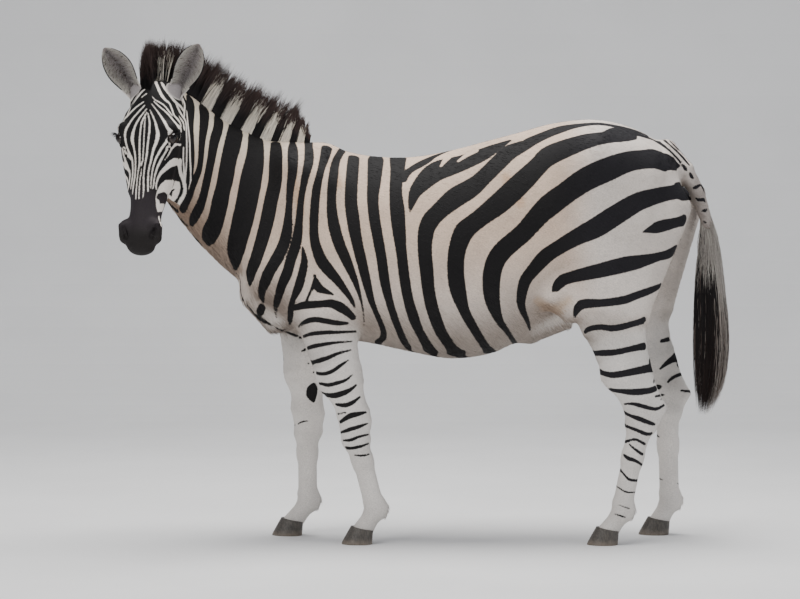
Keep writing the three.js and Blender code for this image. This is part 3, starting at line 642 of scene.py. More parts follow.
NECK_STROKES = [
    [(188.4, 95.5, 0.9), (189.4, 98.5, 2.2), (190.4, 102.5, 3.6), (191.2, 120, 2.3), (192.3, 140, 1.9),
     (193.4, 160, 1.2), (191.5, 178, 1.5)],
    [(197.5, 93, 3.5), (200.5, 101, 2.5), (203.5, 108, 4.3), (204.1, 120, 4.3), (202, 140, 3.3),
     (200.6, 160, 2.8), (199, 170, 3), (195, 180, 3.3), (191.7, 190, 3), (187.5, 200, 3.5),
     (182.5, 210, 3.8)],
    [(216, 97, 4.5), (216, 110, 4), (218.5, 120, 4.2), (217.7, 130, 4.7), (214.5, 140, 4.7), (211, 160, 4),
     (207, 180, 4), (202.2, 200, 4.3), (198, 210, 5), (193.5, 219, 4.5), (191.5, 225, 2)],
    [(234, 118, 6), (235.5, 130, 7.2), (233.5, 140, 8.3), (228.6, 160, 7.8), (225, 180, 8),
     (222.6, 190, 7.6), (220.5, 200, 8.5), (216, 220, 8.4), (212, 230, 9.2), (209, 238, 7.5),
     (208.5, 243, 3)],
    [(253.5, 131, 5.5), (255.6, 140, 7.2), (254.8, 160, 9.4), (251, 180, 10.9), (247.2, 200, 10.8),
     (242.8, 220, 10.8), (238, 240, 9.9), (236.5, 250, 8.9), (235.5, 260, 5.3), (235.5, 268, 2)],
    [(275, 139, 4), (276, 150, 6), (275.3, 180, 6.9), (271.3, 200, 7), (267.3, 220, 7), (262, 240, 6.5),
     (255.5, 260, 6), (251.5, 270, 5), (249, 279, 3), (249.5, 285, 1)],
    [(292.5, 143, 3), (292.8, 150, 5.4), (292.6, 170, 5), (290, 190, 4), (288.6, 210, 3.6), (286, 230, 5),
     (281.3, 250, 5.6), (270.3, 270, 5.2), (265.8, 280, 5.6), (262, 290, 4), (262.7, 299, 2),
     (263.5, 303, 0.8)],
]
SHOULDER_STROKES = [
    [(308.5, 143, 4), (309, 160, 5), (304.5, 180, 3.8), (301, 200, 3.4), (299.2, 220, 3.9),
     (296.8, 240, 5.2), (290.8, 260, 5.3), (283.4, 280, 4.7), (277.5, 300, 3.6), (275.6, 309, 2),
     (276.5, 317, 0.8)],
    [(302.5, 247, 1), (304.3, 262, 3.7), (300.5, 280, 4.6), (297.2, 290, 4.3), (292.8, 300, 2.8),
     (291, 308, 3), (290.5, 316, 2.5), (289.7, 324, 1)],
    [(327, 143, 5), (326.5, 150, 5.6), (321, 170, 3.8), (316.4, 190, 4.5), (314, 220, 4.6),
     (314.6, 240, 4.9), (321, 260, 6), (328.5, 270, 5.8), (337.3, 280, 4.6), (351.5, 300, 2.4),
     (354.5, 307, 1.2)],
    [(344.5, 147, 3), (336.5, 160, 4), (333, 180, 5), (331.5, 200, 4.8), (333, 220, 5.8), (337.8, 240, 6),
     (346.2, 260, 5.3), (354.7, 280, 3.4), (361, 300, 1.4), (363.4, 313, 0.9), (364.2, 326, 0.6)],
    [(314.5, 275, 1.2), (316, 282, 3.5), (318.5, 288, 4.5), (325, 291, 3), (333, 294.5, 1)],
    [(315, 283, 3), (311, 291, 1.5), (308, 297, 1.2), (306.5, 301, 1.5)],
    [(263.3, 302.5, 1), (262.6, 306.5, 3.6), (260.8, 310.5, 4.4), (258.5, 315.5, 1.5)],
    [(250.5, 308, 0.6), (255, 314, 1.8), (260, 318.5, 2.2), (270, 323.5, 1.1), (283, 330.5, 0.9),
     (297, 336, 1.2)],
]
TRUNK_STROKES = [
    [(356, 148, 4), (353.5, 160, 6), (351, 200, 6.4), (353.2, 220, 6.6), (356.5, 240, 5.8),
     (361.3, 260, 5.4), (366.1, 280, 4.7), (371.2, 300, 3.4), (375, 310, 2.7), (383.3, 330, 2.7),
     (383.5, 337, 3), (379, 341, 1.8)],
    [(376, 156, 8.5), (374.3, 180, 7), (372.8, 200, 5.9), (374.7, 220, 5.7), (378.3, 240, 5.5),
     (381.8, 260, 5.3), (384.6, 280, 5.1), (389, 300, 4.2), (395.3, 320, 3.6), (403.7, 340, 2.8),
     (410, 350, 1)],
    [(398, 159, 8.5), (397.5, 170, 7.2), (395.7, 190, 6.4), (397.3, 210, 7.5), (399, 230, 6.9),
     (401.2, 250, 5.6), (404.8, 280, 5.4), (408.4, 300, 5.2), (414.5, 320, 5.4), (418.6, 330, 4.3),
     (430.2, 350, 3.6), (433.5, 355, 3)],
    [(404, 180, 3), (407, 173, 3.3), (413, 168.5, 2.8), (420, 164.5, 3), (427, 160.5, 2.5), (431, 158, 2)],
    [(410, 212, 0.8), (411.5, 204, 3.5), (415, 193, 6), (422, 184, 8), (431, 175, 9.3), (441, 168.5, 9.5),
     (461, 162.5, 7.8), (481, 154.5, 6.3), (491, 149.5, 4.8), (509, 141, 1.2)],
    [(460, 356, 5), (453.5, 350, 4.3), (446, 340, 4.8), (440, 330, 5.7), (432.7, 310, 6.3),
     (428.6, 290, 6.4), (426.6, 270, 7), (424.8, 250, 7.2), (426.3, 230, 8.2), (431, 220, 8.8),
     (440, 210.5, 8.8), (456, 197, 10.3), (470, 188.5, 9.7), (480, 180.5, 8.3), (500, 161, 7.8),
     (510, 151.5, 7.4), (520, 147, 6), (540, 137, 4.2), (560, 129.5, 3.6), (580, 125.3, 2.9),
     (600, 124, 2.7), (622, 127.5, 2)],
    [(489, 351, 3.2), (481, 340, 4), (469, 320, 5), (464, 310, 5.5), (458, 290, 8.2), (455.6, 270, 8.5),
     (457.2, 250, 8.8), (464, 231.5, 10), (471, 225, 9.4), (480, 218, 9.2), (500, 202.4, 10.8),
     (520, 183.8, 10.9), (540, 164, 9.3), (550, 155, 10), (570, 146, 8.5), (590, 139.6, 7),
     (610, 136.2, 5.3), (630, 132.5, 6), (640, 135, 3.7), (659, 142.7, 1.4), (676, 157, 1),
     (683, 166, 1.2)],
]
HAUNCH_STROKES = [
    [(515, 343, 2.3), (506, 330, 2.8), (499, 320, 4.3), (492.4, 300, 7.7), (491.4, 280, 9.1),
     (493, 269, 9.3), (497, 258.5, 9.6), (504.5, 249, 9.7), (523.3, 232.7, 9.6), (541.4, 212.7, 10.7),
     (550.5, 204.4, 11.6), (566, 192.8, 11.2), (585.9, 179.3, 12), (607.9, 169.2, 12), (629.5, 161, 10.2),
     (653, 158.3, 8.3), (661.5, 159.3, 7), (670.2, 161.5, 5), (678.5, 166, 1.8)],
    [(530, 330, 1), (527, 320, 2.3), (522.5, 310, 3.5), (521, 300, 4.6), (525, 281, 6), (530.5, 273.5, 6.3),
     (544.5, 257.5, 7.6), (554, 250.5, 7.3), (575, 238, 8.3), (596, 227.6, 10.3), (617.5, 214, 10.3),
     (638, 202, 9.4), (660, 195, 7.8), (673, 192.4, 7.2), (680, 191.5, 6.8), (685.5, 192, 5)],
    [(643, 232, 0.8), (649, 230, 3), (657, 227.5, 5.8), (666, 225, 6), (676, 222.6, 5),
     (683.5, 220.5, 4.8)],
    [(553, 291, 1.5), (557, 286.5, 5), (562, 280.5, 5.8), (572, 277, 6), (598, 271, 7.3), (625, 264.5, 8),
     (638, 262, 7), (650, 259, 5.3), (660, 256.3, 4.3), (668, 254.3, 4), (673.5, 251, 2.6)],
    [(574.5, 317, 1.3), (577, 309, 4), (582, 304.3, 5), (602, 303, 4.1), (624, 300, 4.3), (635, 296, 4),
     (652, 289.8, 3.3), (659, 286.5, 1.5)],
]
CUTS = [
    [(450, 155, 2.2), (446, 159.5, 2), (441, 166, 1)],
    [(475, 151, 1.8), (467, 155, 1.7), (458.5, 161, 1)],
    [(531, 133.5, 1.2), (526, 136.5, 1.5), (522, 140, 1)],
]
HIND_BARS = [
    [(583, 334.5, 1), (588, 329.5, 2.2), (600, 327, 2.4), (614, 328.2, 2.8), (636, 323, 2.6),
     (643, 320.5, 2.6)],
    [(592, 353.3, 1.3), (603, 353, 2.7), (615, 352.3, 2.6), (635, 348, 2.7), (644, 346.2, 3.3)],
    [(598, 370.5, 1), (605, 373.8, 2.2), (614, 375, 2.7), (634, 371.5, 3.1), (650.5, 368, 3.7)],
    [(606, 388.8, 0.8), (615, 390.6, 1.5), (634, 392, 2.8), (651, 390.3, 2.6), (658, 387, 2.3)],
    [(655.5, 396.5, 1), (662, 395, 1.2)],
    [(624.5, 404.2, 0.8), (632, 403.7, 1.3), (640, 405.5, 1.8), (656, 409, 1.5), (664, 405, 1)],
    [(622.5, 411.5, 0.8), (630, 415.5, 1.3), (637, 418, 2), (650, 423, 1.8), (654.5, 424.3, 1.2)],
    [(623, 424.7, 0.8), (631, 428, 1.3), (639, 431, 1.6), (646, 434, 1.6), (654, 433.5, 1)],
    [(626, 441.5, 1.2), (635, 439.3, 1.2), (641, 442, 1.2), (648, 445.5, 1.3), (653, 444.7, 0.8)],
    [(629.5, 444.5, 0.8), (636, 450, 1.2), (642, 454, 1.3), (648, 455, 1)],
    [(624, 455, 1), (628.5, 458.5, 1.8), (635, 460.5, 1.5), (642, 465, 1)],
    [(620.5, 470, 0.8), (625, 475.5, 0.9), (629, 479.5, 1.2), (637, 480.5, 1.2)],
    [(616.5, 486, 0.5), (626, 492, 0.8), (635, 492.3, 0.6)],
    [(619, 505, 0.4), (629, 508.5, 0.6)],
    [(615, 514, 0.5), (621, 516, 0.8), (626, 517.5, 0.5)],
]
FORE_BARS = [
    [(292, 309, 2), (296, 307.5, 2.6), (303, 305.5, 3.3), (322, 304, 3.1), (331, 303.5, 3.6),
     (339, 306.5, 4.2), (346, 311, 3.7), (353, 317.5, 2.6)],
    [(298.5, 327, 0.8), (305, 322, 2), (314.5, 319.5, 2.4), (337, 323, 2.2), (347.5, 323.3, 1.2)],
    [(301, 337.5, 1), (311, 334, 1.7), (325, 332.5, 1.8), (339, 332.2, 1.4), (355.5, 331.5, 1)],
    [(302.5, 351, 0.8), (311, 347, 1.8), (323, 344.5, 1.7), (337, 342.5, 1.2), (352, 341.3, 0.7)],
    [(308.6, 363.5, 0.8), (318, 361, 2), (328.5, 357.5, 1.8), (339, 353, 1.4), (351, 350, 0.7)],
    [(313.8, 372.3, 1), (323, 374, 1.6), (332, 371.3, 1.7), (340.5, 365.5, 1.5), (348.5, 360, 0.6)],
    [(319.8, 383.5, 1), (328.5, 385, 1.7), (337, 383, 1.7), (346, 380, 1.3), (352, 375, 0.6)],
    [(326, 395, 1.2), (333.5, 395.7, 2.3), (340.5, 394, 2.5), (349, 390.5, 1.8), (356, 385.3, 1)],
    [(336, 404.5, 1), (345, 405.3, 2), (352.5, 402.5, 1.8), (359.8, 397, 0.8)],
    [(333.5, 413, 0.6), (338, 414, 0.8)],
    [(338, 424, 1), (344, 419.5, 1.8), (350, 416, 2.4), (358, 414, 2), (366, 412.3, 1)],
    [(340.5, 432.7, 1), (349.5, 429.5, 1.8), (358, 427, 1.6), (367.5, 423.5, 0.8)],
    [(343.5, 440.5, 0.9), (351, 440, 1.4), (358, 437, 1.2), (371, 433.8, 0.7)],
    [(341, 446.5, 0.7), (349.5, 448.3, 1.3), (359.5, 446.7, 1.3), (371, 442.5, 0.5)],
    [(354.5, 455, 0.5), (362, 455.7, 1), (369, 454.3, 0.7)],
]
FAR_HIND_BARS = [
    [(661.5, 341, 1.6), (671, 338.5, 2)],
    [(660, 369, 0.8), (667, 363, 2), (675, 357.5, 3)],
    [(668, 382, 1), (673, 377.5, 1.5), (681, 374, 1.5)],
    [(681, 390.5, 0.8), (690, 391.5, 1.2)],
    [(298, 424, 0.5), (303, 421.5, 0.8), (308, 421, 0.4)],
]
CHESTNUTS = [[(311.5, 387, 4), (312.5, 393, 5.4), (313.5, 400, 2)]]  # the horny patch inside the foreleg
DOCK_STROKES = [
    [(656, 133, 0.7), (665, 141, 0.8), (676, 150.6, 0.9), (683.4, 158, 1), (689, 165, 0.8)],
    [(668, 139.5, 0.5), (682.8, 154, 0.8), (688.8, 161.5, 0.8)],
    [(694, 163.6, 1), (697.5, 173, 1.6), (700.7, 182, 1), (704, 192, 0.6)],
    [(683.8, 165.5, 1), (685, 168.5, 1.8), (687, 170.5, 0.8)],
    [(689.8, 173, 1), (691, 175.5, 2), (693, 178.5, 1)],
    [(693.5, 188, 1.2), (696.5, 187, 2), (699.5, 185, 1.2)],
    [(696.3, 198.5, 1), (699.5, 200, 1.8), (703.5, 199.5, 1.6), (704.5, 202, 1)],
    [(702.5, 211, 1), (704.5, 210.5, 2), (706.5, 209.5, 1.2)],
    [(703.5, 221, 0.7), (705.5, 222.5, 1.2)],
]
TINT_STROKES = [  # brown shadows between the stripes, and dust in the groin
    [(505, 176, 3), (512, 190, 4), (520, 204, 3)],
    [(292, 172, 2), (297, 195, 3), (299, 214, 2)],
    [(332, 166, 2), (338, 184, 3)],
    [(537, 300, 3), (552, 310, 4), (568, 300, 3)],
]
# The face is dark with pale strokes on it, drawn for both of its halves.
FACE_STROKES = [
    [(148.1, 113.7, 0.6), (148.9, 118, 0.8), (149.6, 123, 1), (149.1, 133.5, 1), (147.8, 144, 1),
     (146.7, 155, 1), (145.1, 164, 0.8), (144.3, 170, 0.7), (143.5, 180, 0.85), (143.7, 190, 0.8),
     (143, 197.8, 0.5)],
    [(145.6, 117, 0.4), (144.7, 123, 0.6), (144.3, 131.7, 0.6), (143.4, 149.3, 0.6), (142.6, 160, 0.7),
     (141.1, 165.3, 0.8)],
    [(146.7, 112.5, 0.5), (144.3, 117, 0.8), (141.9, 121.8, 0.9), (140.3, 131.7, 0.8), (139.5, 142.7, 1),
     (139.5, 163.2, 0.9), (138.2, 170.8, 0.7), (136.9, 182.2, 0.65), (135.9, 194.8, 0.8),
     (135.9, 199, 0.5)],
    [(141.3, 169, 0.4), (141.1, 172.7, 0.6), (139.9, 180, 0.6), (139.1, 192, 0.6), (138.9, 198.6, 0.6)],
    [(146.7, 108.9, 0.5), (143.6, 112.6, 0.6), (139.2, 118.5, 0.9), (135.5, 125.1, 1.1),
     (133.3, 131.7, 1.5), (132.3, 136.5, 1.9), (132.4, 141, 1.8), (133.5, 146, 1.1), (134.8, 153, 0.9),
     (135.5, 162, 0.8), (135, 175, 0.8), (133.3, 186, 0.9), (132.5, 193.2, 0.5)],
    [(144.7, 105.3, 0.5), (141, 109.3, 0.7), (136.2, 114.4, 0.8), (131.4, 120.3, 0.9), (127.8, 126.2, 1.1),
     (126, 129.5, 1.3), (125, 134, 1.1), (125.2, 138.5, 1), (127, 147.1, 0.9), (129.5, 153.7, 1.1),
     (132, 159, 1), (132.7, 167, 0.8), (132.5, 176.1, 0.8), (131, 186, 0.5)],
    [(143.4, 102, 0.5), (137.7, 106, 0.7), (131.8, 111.3, 0.7), (125.6, 117.8, 0.8), (120.1, 122.9, 0.8),
     (117.9, 128, 0.8)],
    [(144.3, 89.4, 0.8), (140.3, 93.4, 0.9), (134.8, 100.9, 0.8), (131.1, 106.4, 0.8), (128.5, 112.2, 0.6)],
    [(142, 84.9, 1), (136.3, 91.7, 1), (130.7, 100.9, 0.9), (127, 106.7, 0.9), (121.9, 116.3, 0.9),
     (120.1, 118.9, 0.7)],
    [(146.5, 93.7, 0.5), (143.5, 95.8, 0.5), (141.5, 97.6, 0.3)],
    [(150.2, 110.2, 0.5), (152, 114, 0.7), (154.8, 121, 1), (157, 129, 1.5), (157.8, 134, 2.1),
     (157.1, 139.5, 2), (155.2, 145, 1.7), (153.3, 150, 1.4), (151.1, 160, 1.1), (149.9, 165, 0.95),
     (148.6, 171, 0.9), (148, 180, 1), (148, 191.4, 0.8)],
    [(151.8, 104.1, 0.5), (155.9, 109.2, 0.6), (160.3, 115.4, 1), (164.3, 121.3, 1.3), (167.6, 127.9, 1.7),
     (170, 130.8, 2.2), (170.4, 134.5, 2), (167.7, 139.5, 1.6), (164.9, 143.7, 1.4), (159.7, 151.5, 1.3),
     (155.5, 159.5, 1.1), (152.5, 170, 0.85), (151.4, 179, 0.7), (150.8, 188, 0.5)],
    [(169.7, 141.8, 0.7), (168.6, 146, 1), (164.7, 153.4, 1), (161, 160, 1.3), (158.4, 165, 1.3),
     (156.2, 170.8, 1), (154.3, 178.5, 0.8), (153.5, 186, 0.7), (152.7, 189.4, 0.5)],
    [(180, 145, 1), (174.8, 144.5, 1.3), (171.7, 148.8, 0.9), (168.2, 155.3, 0.7), (164.7, 160, 0.3)],
    [(179.5, 163, 2.6), (176.5, 161.9, 4.2), (172.1, 163, 3.8), (168.2, 166, 3), (164.3, 169.4, 2.4),
     (160.5, 173.7, 1.8), (158.5, 177.2, 1.2), (157.1, 181, 1), (156.1, 185, 0.85), (156.4, 189, 0.8)],
    [(179.5, 163, 2.5), (179.8, 168, 1.7), (180.6, 173, 1.6), (182.5, 178, 1.7), (184.5, 184, 2),
     (185, 190, 1.8), (183.5, 196, 2), (181, 200, 2.2), (178, 205, 1.5), (175, 208.5, 0.8)],
    [(154, 101.5, 0.5), (159.5, 106.6, 0.7), (165.4, 111.4, 0.8), (170.5, 116.9, 0.9), (175.3, 122.8, 0.9),
     (179, 127.6, 1.3), (180.5, 128.3, 1.2)],
    [(152.4, 96.6, 0.4), (154.8, 99.7, 0.5), (160.3, 102.6, 0.7), (165.8, 107, 0.7), (169.4, 112.1, 0.7),
     (172.4, 115.4, 0.5)],
    [(154.9, 80.5, 0.8), (157.3, 86.1, 1.3), (160.6, 93.4, 1.6), (162.5, 96.4, 1.7), (164.7, 99.3, 1.3),
     (169.4, 103.3, 0.9), (172, 109.2, 0.8), (174, 115.1, 0.8), (177.9, 119.5, 0.9), (180.8, 124.3, 1),
     (180.8, 128, 1)],
    [(161.8, 82.6, 0.9), (163.5, 86, 1.5), (166.5, 90.5, 1.4), (170.9, 96.4, 1.2), (174.9, 101.5, 1.3),
     (180.4, 106.3, 0.9), (183.6, 110.7, 0.8)],
    [(176, 103, 1), (179, 110.3, 1), (182.3, 115.8, 0.9), (185.6, 121, 0.9), (186.3, 127.2, 0.8),
     (186.7, 140, 0.8), (186.6, 160, 0.8), (186, 170, 0.8), (185, 178, 1)],
    [(180.1, 118, 0.6), (183.4, 122.8, 0.9), (183.7, 126.8, 0.8)],
    [(182, 97.5, 2), (184.5, 104.1, 1.2), (184.3, 114, 0.9)],
    [(187, 113.2, 0.6), (187.8, 123.5, 0.8), (189.4, 138, 0.8), (190.2, 160, 0.9), (190.8, 180, 0.9),
     (189, 190, 0.6)],
    [(183.5, 148, 0.8), (183.3, 160, 0.8), (184, 170, 0.9), (185, 180, 1.2)],
    [(122.3, 148.8, 0.7), (123.4, 155, 0.8), (126.1, 162.4, 1.1), (128.2, 168.5, 1.2), (129.7, 172.7, 0.9),
     (129.6, 180, 0.8), (128.3, 188, 0.9), (127.8, 191.7, 0.8)],
    [(120.4, 160, 1.6), (122.5, 163, 2), (125.5, 166, 1.6), (128, 169.5, 0.9)],
    [(124.2, 148, 0.8), (124.9, 151.4, 0.9), (126.5, 153.8, 1), (129, 156.5, 1), (130.8, 159, 1)],
    [(121, 175.2, 1), (123.8, 175.3, 1.2), (126.1, 176.9, 1.1), (127.2, 179.2, 0.9), (128.3, 184, 0.5)],
    [(158.5, 218.5, 1), (160.5, 222.5, 1.7), (161.5, 227, 1.2)],
]
CHIN_PATCH = [(157.5, 190), (160.5, 184.5), (165.5, 180.2), (172, 180), (179.5, 182), (180.3, 187),
              (179.5, 192), (177, 198), (173, 202.5), (169, 207), (166.5, 211), (164, 213), (160, 213.5),
              (157.5, 211.5), (156, 205), (155.5, 197)]
CHIN_SPOT = [(156.3, 196.8), (157.7, 194), (160.5, 192.6), (164, 192), (166.1, 193), (167.9, 196.1),
             (168.9, 199.6), (168.6, 204.5), (163.3, 203.7), (159.8, 203.7), (159.1, 200.3), (157, 198.9)]
CHIN_STROKES = [
    [(173.5, 189.5, 0.8), (171, 191.5, 0.8), (170.5, 194, 0.8), (171.5, 196.5, 0.4)],
    [(159.5, 213.6, 1), (162, 215.6, 1.8), (164, 213.6, 1)],
]
MUZZLE = [(128.3, 189.5), (131, 190.5), (132.5, 194.5), (135.5, 200), (139, 200.3), (142.5, 199),
          (145.5, 193), (148, 192.6), (150.5, 189.8), (154.5, 188.5), (155.5, 198), (155.8, 206),
          (157, 212), (158.4, 219), (161, 226), (164, 231), (164, 260), (110, 260), (112, 225), (120, 219),
          (124, 208), (126.5, 198)]

# What the plan shows of the head, out to its edge against the neck.
FACE_EDGE = [(100, 60), (180, 60), (184, 84), (187.5, 95), (189.5, 108), (191, 122), (192, 140),
             (192.5, 160), (191.5, 180), (188, 192), (184, 202), (178, 209), (170, 216), (165, 262),
             (100, 262)]


plan_ahead = PLAN_AIM - PLAN_VIEW
plan_ahead /= np.linalg.norm(plan_ahead)
plan_right = np.array([1.0, 0.0, 0.0])
plan_up = np.cross(plan_right, plan_ahead)


def plan_ray(points):
    """Unit directions from the plan's view through points of the plan."""
    x, y = np.asarray(points, float).T
    to_right, to_top = (x - PLAN_WIDTH / 2)[:, None], (PLAN_HEIGHT / 2 - y)[:, None]
    rays = plan_ahead * PLAN_FOCUS + plan_right * to_right + plan_up * to_top
    return rays / np.linalg.norm(rays, axis=1)[:, None]


def plan_place(points):
    """Where on the plan each point of the model is seen."""
    p = points - PLAN_VIEW
    deep = p @ plan_ahead
    x = PLAN_WIDTH / 2 + PLAN_FOCUS * p[:, 0] / deep
    return np.stack([x, PLAN_HEIGHT / 2 - PLAN_FOCUS * (p @ plan_up) / deep], -1)


skin_tree = BVHTree.FromPolygons(skin_points.tolist(), skin_faces.tolist())


def cast(points):
    """The skin under points of the plan, its normals, and which points lie within the outline.

    A point outside the outline is given the skin nearest to its ray, as far off as the last hit.
    """
    found, normals, struck = [], [], []
    reach = -PLAN_VIEW[1] - 200
    for ray in plan_ray(points):
        hit, normal, _, far = skin_tree.ray_cast(Vector(PLAN_VIEW), Vector(ray))
        struck.append(hit is not None)
        if hit is None:
            hit, normal, _, _ = skin_tree.find_nearest(Vector(PLAN_VIEW + ray * reach))
        else:
            reach = far
        found.append(hit[:])
        normals.append(normal[:])
    return np.array(found), np.array(normals), np.array(struck)


def resample(path, step):
    """A smooth curve through the path's rows, at equal steps of plan distance."""
    path = np.array(path, float)
    run = np.r_[0, np.cumsum(np.linalg.norm(np.diff(path[:, :2], axis=0), axis=1))]
    count = max(2, math.ceil(run[-1] / step) + 1)
    return smooth_curve(np.c_[run, path])(np.linspace(0, run[-1], count))


WALK_STEP = 8.0
NARROWED = 0.7  # the share of its width that a stroke keeps to the end of its walk
TURNING = -0.45  # skin turned further than this from the plan's view is where strokes walk on


def walk(points, length, level):
    """Carries a path on over the skin, straight ahead, for a length from its last point.

    The heading is taken over the last few points, and its rise or fall is kept to the share in level.
    The path stops at the middle of the body, where the other side's marking begins.
    """
    here = Vector(points[-1])
    heading = Vector((points[-1] - points[-4:][0]) * [1, 1, level]).normalized()
    more = []
    for _ in range(int(length / WALK_STEP)):
        _, normal, _, _ = skin_tree.find_nearest(here)
        heading = (heading - normal * heading.dot(normal)).normalized()
        ahead, _, _, _ = skin_tree.find_nearest(here + heading * WALK_STEP)
        if (ahead - here).length < WALK_STEP / 2:
            break
        heading = (ahead - here).normalized()
        here = ahead
        more.append(here[:])
    more = np.array(more).reshape(-1, 3)
    crossed = unbend(more)[:, 1] * unbend(points[-1:])[0, 1] < 0
    return more[: np.argmax(crossed)] if crossed.any() else more


def stroke(path, places, step=5.0, over=(0.0, 0.0), level=1.0):
    """A plan stroke as rows of (three coordinates, half width), in the coordinates that places gives.

    The half width is half the way between the casts of the stroke's two edges, kept near the width
    drawn. Where an end lies at the outline, with the skin turning out of sight, the stroke walks on
    for its length in over, and narrows.
    """
    rows = resample(path, step)
    along = np.gradient(rows[:, :2], axis=0)
    along /= np.maximum(np.linalg.norm(along, axis=1), 1e-9)[:, None]
    across = np.c_[-along[:, 1], along[:, 0]] * rows[:, 2:]
    middle, normal, struck = cast(rows[:, :2])
    one, _, one_struck = cast(rows[:, :2] + across)
    other, _, other_struck = cast(rows[:, :2] - across)
    flat = rows[:, 2] * -PLAN_VIEW[1] / PLAN_FOCUS
    wide = np.linalg.norm(places(one) - places(other), axis=1) / 2
    wide = np.where(one_struck & other_struck, np.clip(wide, flat * 0.9, flat * 2.2), flat * 1.15)
    if struck.sum() > 1:
        middle, normal, wide, rows = middle[struck], normal[struck], wide[struck], rows[struck]
    facing = (normal * plan_ray(rows[:, :2])).sum(1)
    if over[1] and facing[-1] > TURNING:
        more = walk(middle, over[1], level)
        middle = np.concatenate([middle, more])
        wide = np.r_[wide, wide[-1] * np.linspace(1, NARROWED, len(more))]
    if over[0] and facing[0] > TURNING:
        more = walk(middle[::-1], over[0], level)[::-1]
        middle = np.concatenate([more, middle])
        wide = np.r_[wide[0] * np.linspace(NARROWED, 1, len(more)), wide]
    return np.c_[places(middle), wide]


FAR = -30.0  # the mark where no stroke is near, mm


def paint(at, strokes):
    """The largest of half width less distance over all the strokes' segments, in millimetres."""
    mark = np.full(len(at), FAR)
    for rows in strokes:
        p, w = rows[:, :3], rows[:, 3]
        reach = w.max() - FAR
        low, high = p.min(0) - reach, p.max(0) + reach
        near = np.flatnonzero(((at > low) & (at < high)).all(1))
        if not len(near):
            continue
        q = at[near]
        best = np.full(len(near), FAR)
        for i in range(len(p) - 1):
            run = p[i + 1] - p[i]
            t = np.clip((q - p[i]) @ run / max(run @ run, 1e-9), 0, 1)
            d = np.linalg.norm(q - p[i] - t[:, None] * run, axis=1)
            best = np.maximum(best, mix(w[i], w[i + 1], t) - d)
        mark[near] = np.maximum(mark[near], best)
    return mark


def within(at, outline):
    """Signed distance inside a closed outline of the plan, in plan units: positive within it."""
    a = np.array(outline, float)
    b = np.roll(a, -1, axis=0)
    best = np.full(len(at), 1e9)
    odd = np.zeros(len(at), bool)
    for p, q in zip(a, b):
        run = q - p
        t = np.clip((at - p) @ run / (run @ run), 0, 1)
        best = np.minimum(best, np.linalg.norm(at - p - t[:, None] * run, axis=1))
        cross = (p[1] > at[:, 1]) != (q[1] > at[:, 1])
        odd ^= cross & (at[:, 0] < run[0] * (at[:, 1] - p[1]) / (run[1] or 1e-9) + p[0])
    return np.where(odd, best, -best)


def leg_axis(leg, z):
    """The x of a leg's middle at each height, by its joints."""
    upper = [leg[joint] for joint in ("fetlock", "knee", "hock", "elbow", "stifle") if joint in leg]
    x, heights = np.array([(leg["hoof"], 0), *upper], float).T
    return np.interp(z, heights, x)


FORE_ENDS = 150  # the plan distance that parts the fore half of the body from the hind half


def body_place(points):
    """Plan distance, offset from the middle and height, with the right side laid over the left.

    The right legs are slid along the body onto the left ones, and the right flank's pattern drifts a
    little from the left's, as no two sides of a zebra are alike.
    """
    s, n, z = unbend(points).T
    right = smoothstep(n, 0, 90)
    fore = right * (s < FORE_ENDS) * (1 - smoothstep(z, 640, 900))
    hind = right * (s > 380) * (1 - smoothstep(z, 660, 1000))
    slid = s + fore * (leg_axis(FORE[LEFT], z) - leg_axis(FORE[RIGHT], z))
    slid = slid + hind * (leg_axis(HIND[LEFT], z) - leg_axis(HIND[RIGHT], z))
    drift = 13 * np.sin(z / 150 + 1.1) + 9 * np.sin(s / 190 + 0.4)
    drift = drift * right * smoothstep(z, 500, 800)
    return np.stack([slid + drift, np.abs(n), z + right * 6 * np.sin(s / 120)], -1)


OVER_THE_BACK, UNDER_THE_BELLY, ROUND_THE_LEG, PAST_THE_EDGE = 130.0, 90.0, 30.0, 14.0
FINE_STEP, WIDE_STEP = 3.0, 8.0  # plan distances between a stroke's rows, for small and broad strokes
LEVEL = 0.2  # how much of their rise the legs' bars keep as they run round the leg
FINER = np.array([1, 1, 1, 0.84])  # narrows the face's pale strokes; a row is three places and a width
BOLDER = np.array([1, 1, 1, 1.2])  # widens the legs' dark bars, which pale hair laps over
body_strokes = [stroke(s, body_place, over=(OVER_THE_BACK, 0)) for s in NECK_STROKES + SHOULDER_STROKES]
body_strokes += [stroke(s, body_place, over=(OVER_THE_BACK, UNDER_THE_BELLY)) for s in TRUNK_STROKES]
body_strokes += [stroke(s, body_place, over=(0, PAST_THE_EDGE)) for s in HAUNCH_STROKES]
for bars, before in ((HIND_BARS + FORE_BARS, ROUND_THE_LEG), (FAR_HIND_BARS, 0)):
    for s in bars:
        bar = stroke(s, body_place, FINE_STEP, (before, ROUND_THE_LEG), LEVEL)
        body_strokes.append(bar * BOLDER)
dock_strokes = [stroke(s, body_place, FINE_STEP) for s in DOCK_STROKES]
body_strokes += [stroke(s, body_place, FINE_STEP) for s in CHESTNUTS] + dock_strokes
body_cuts = [stroke(s, body_place) for s in CUTS]
tint_strokes = [stroke(s, body_place, WIDE_STEP) for s in TINT_STROKES]
face_strokes = [stroke(s, head_place, FINE_STEP, (PAST_THE_EDGE,) * 2) * FINER for s in FACE_STROKES]
chin_strokes = [stroke(s, head_place, FINE_STEP) for s in CHIN_STROKES]

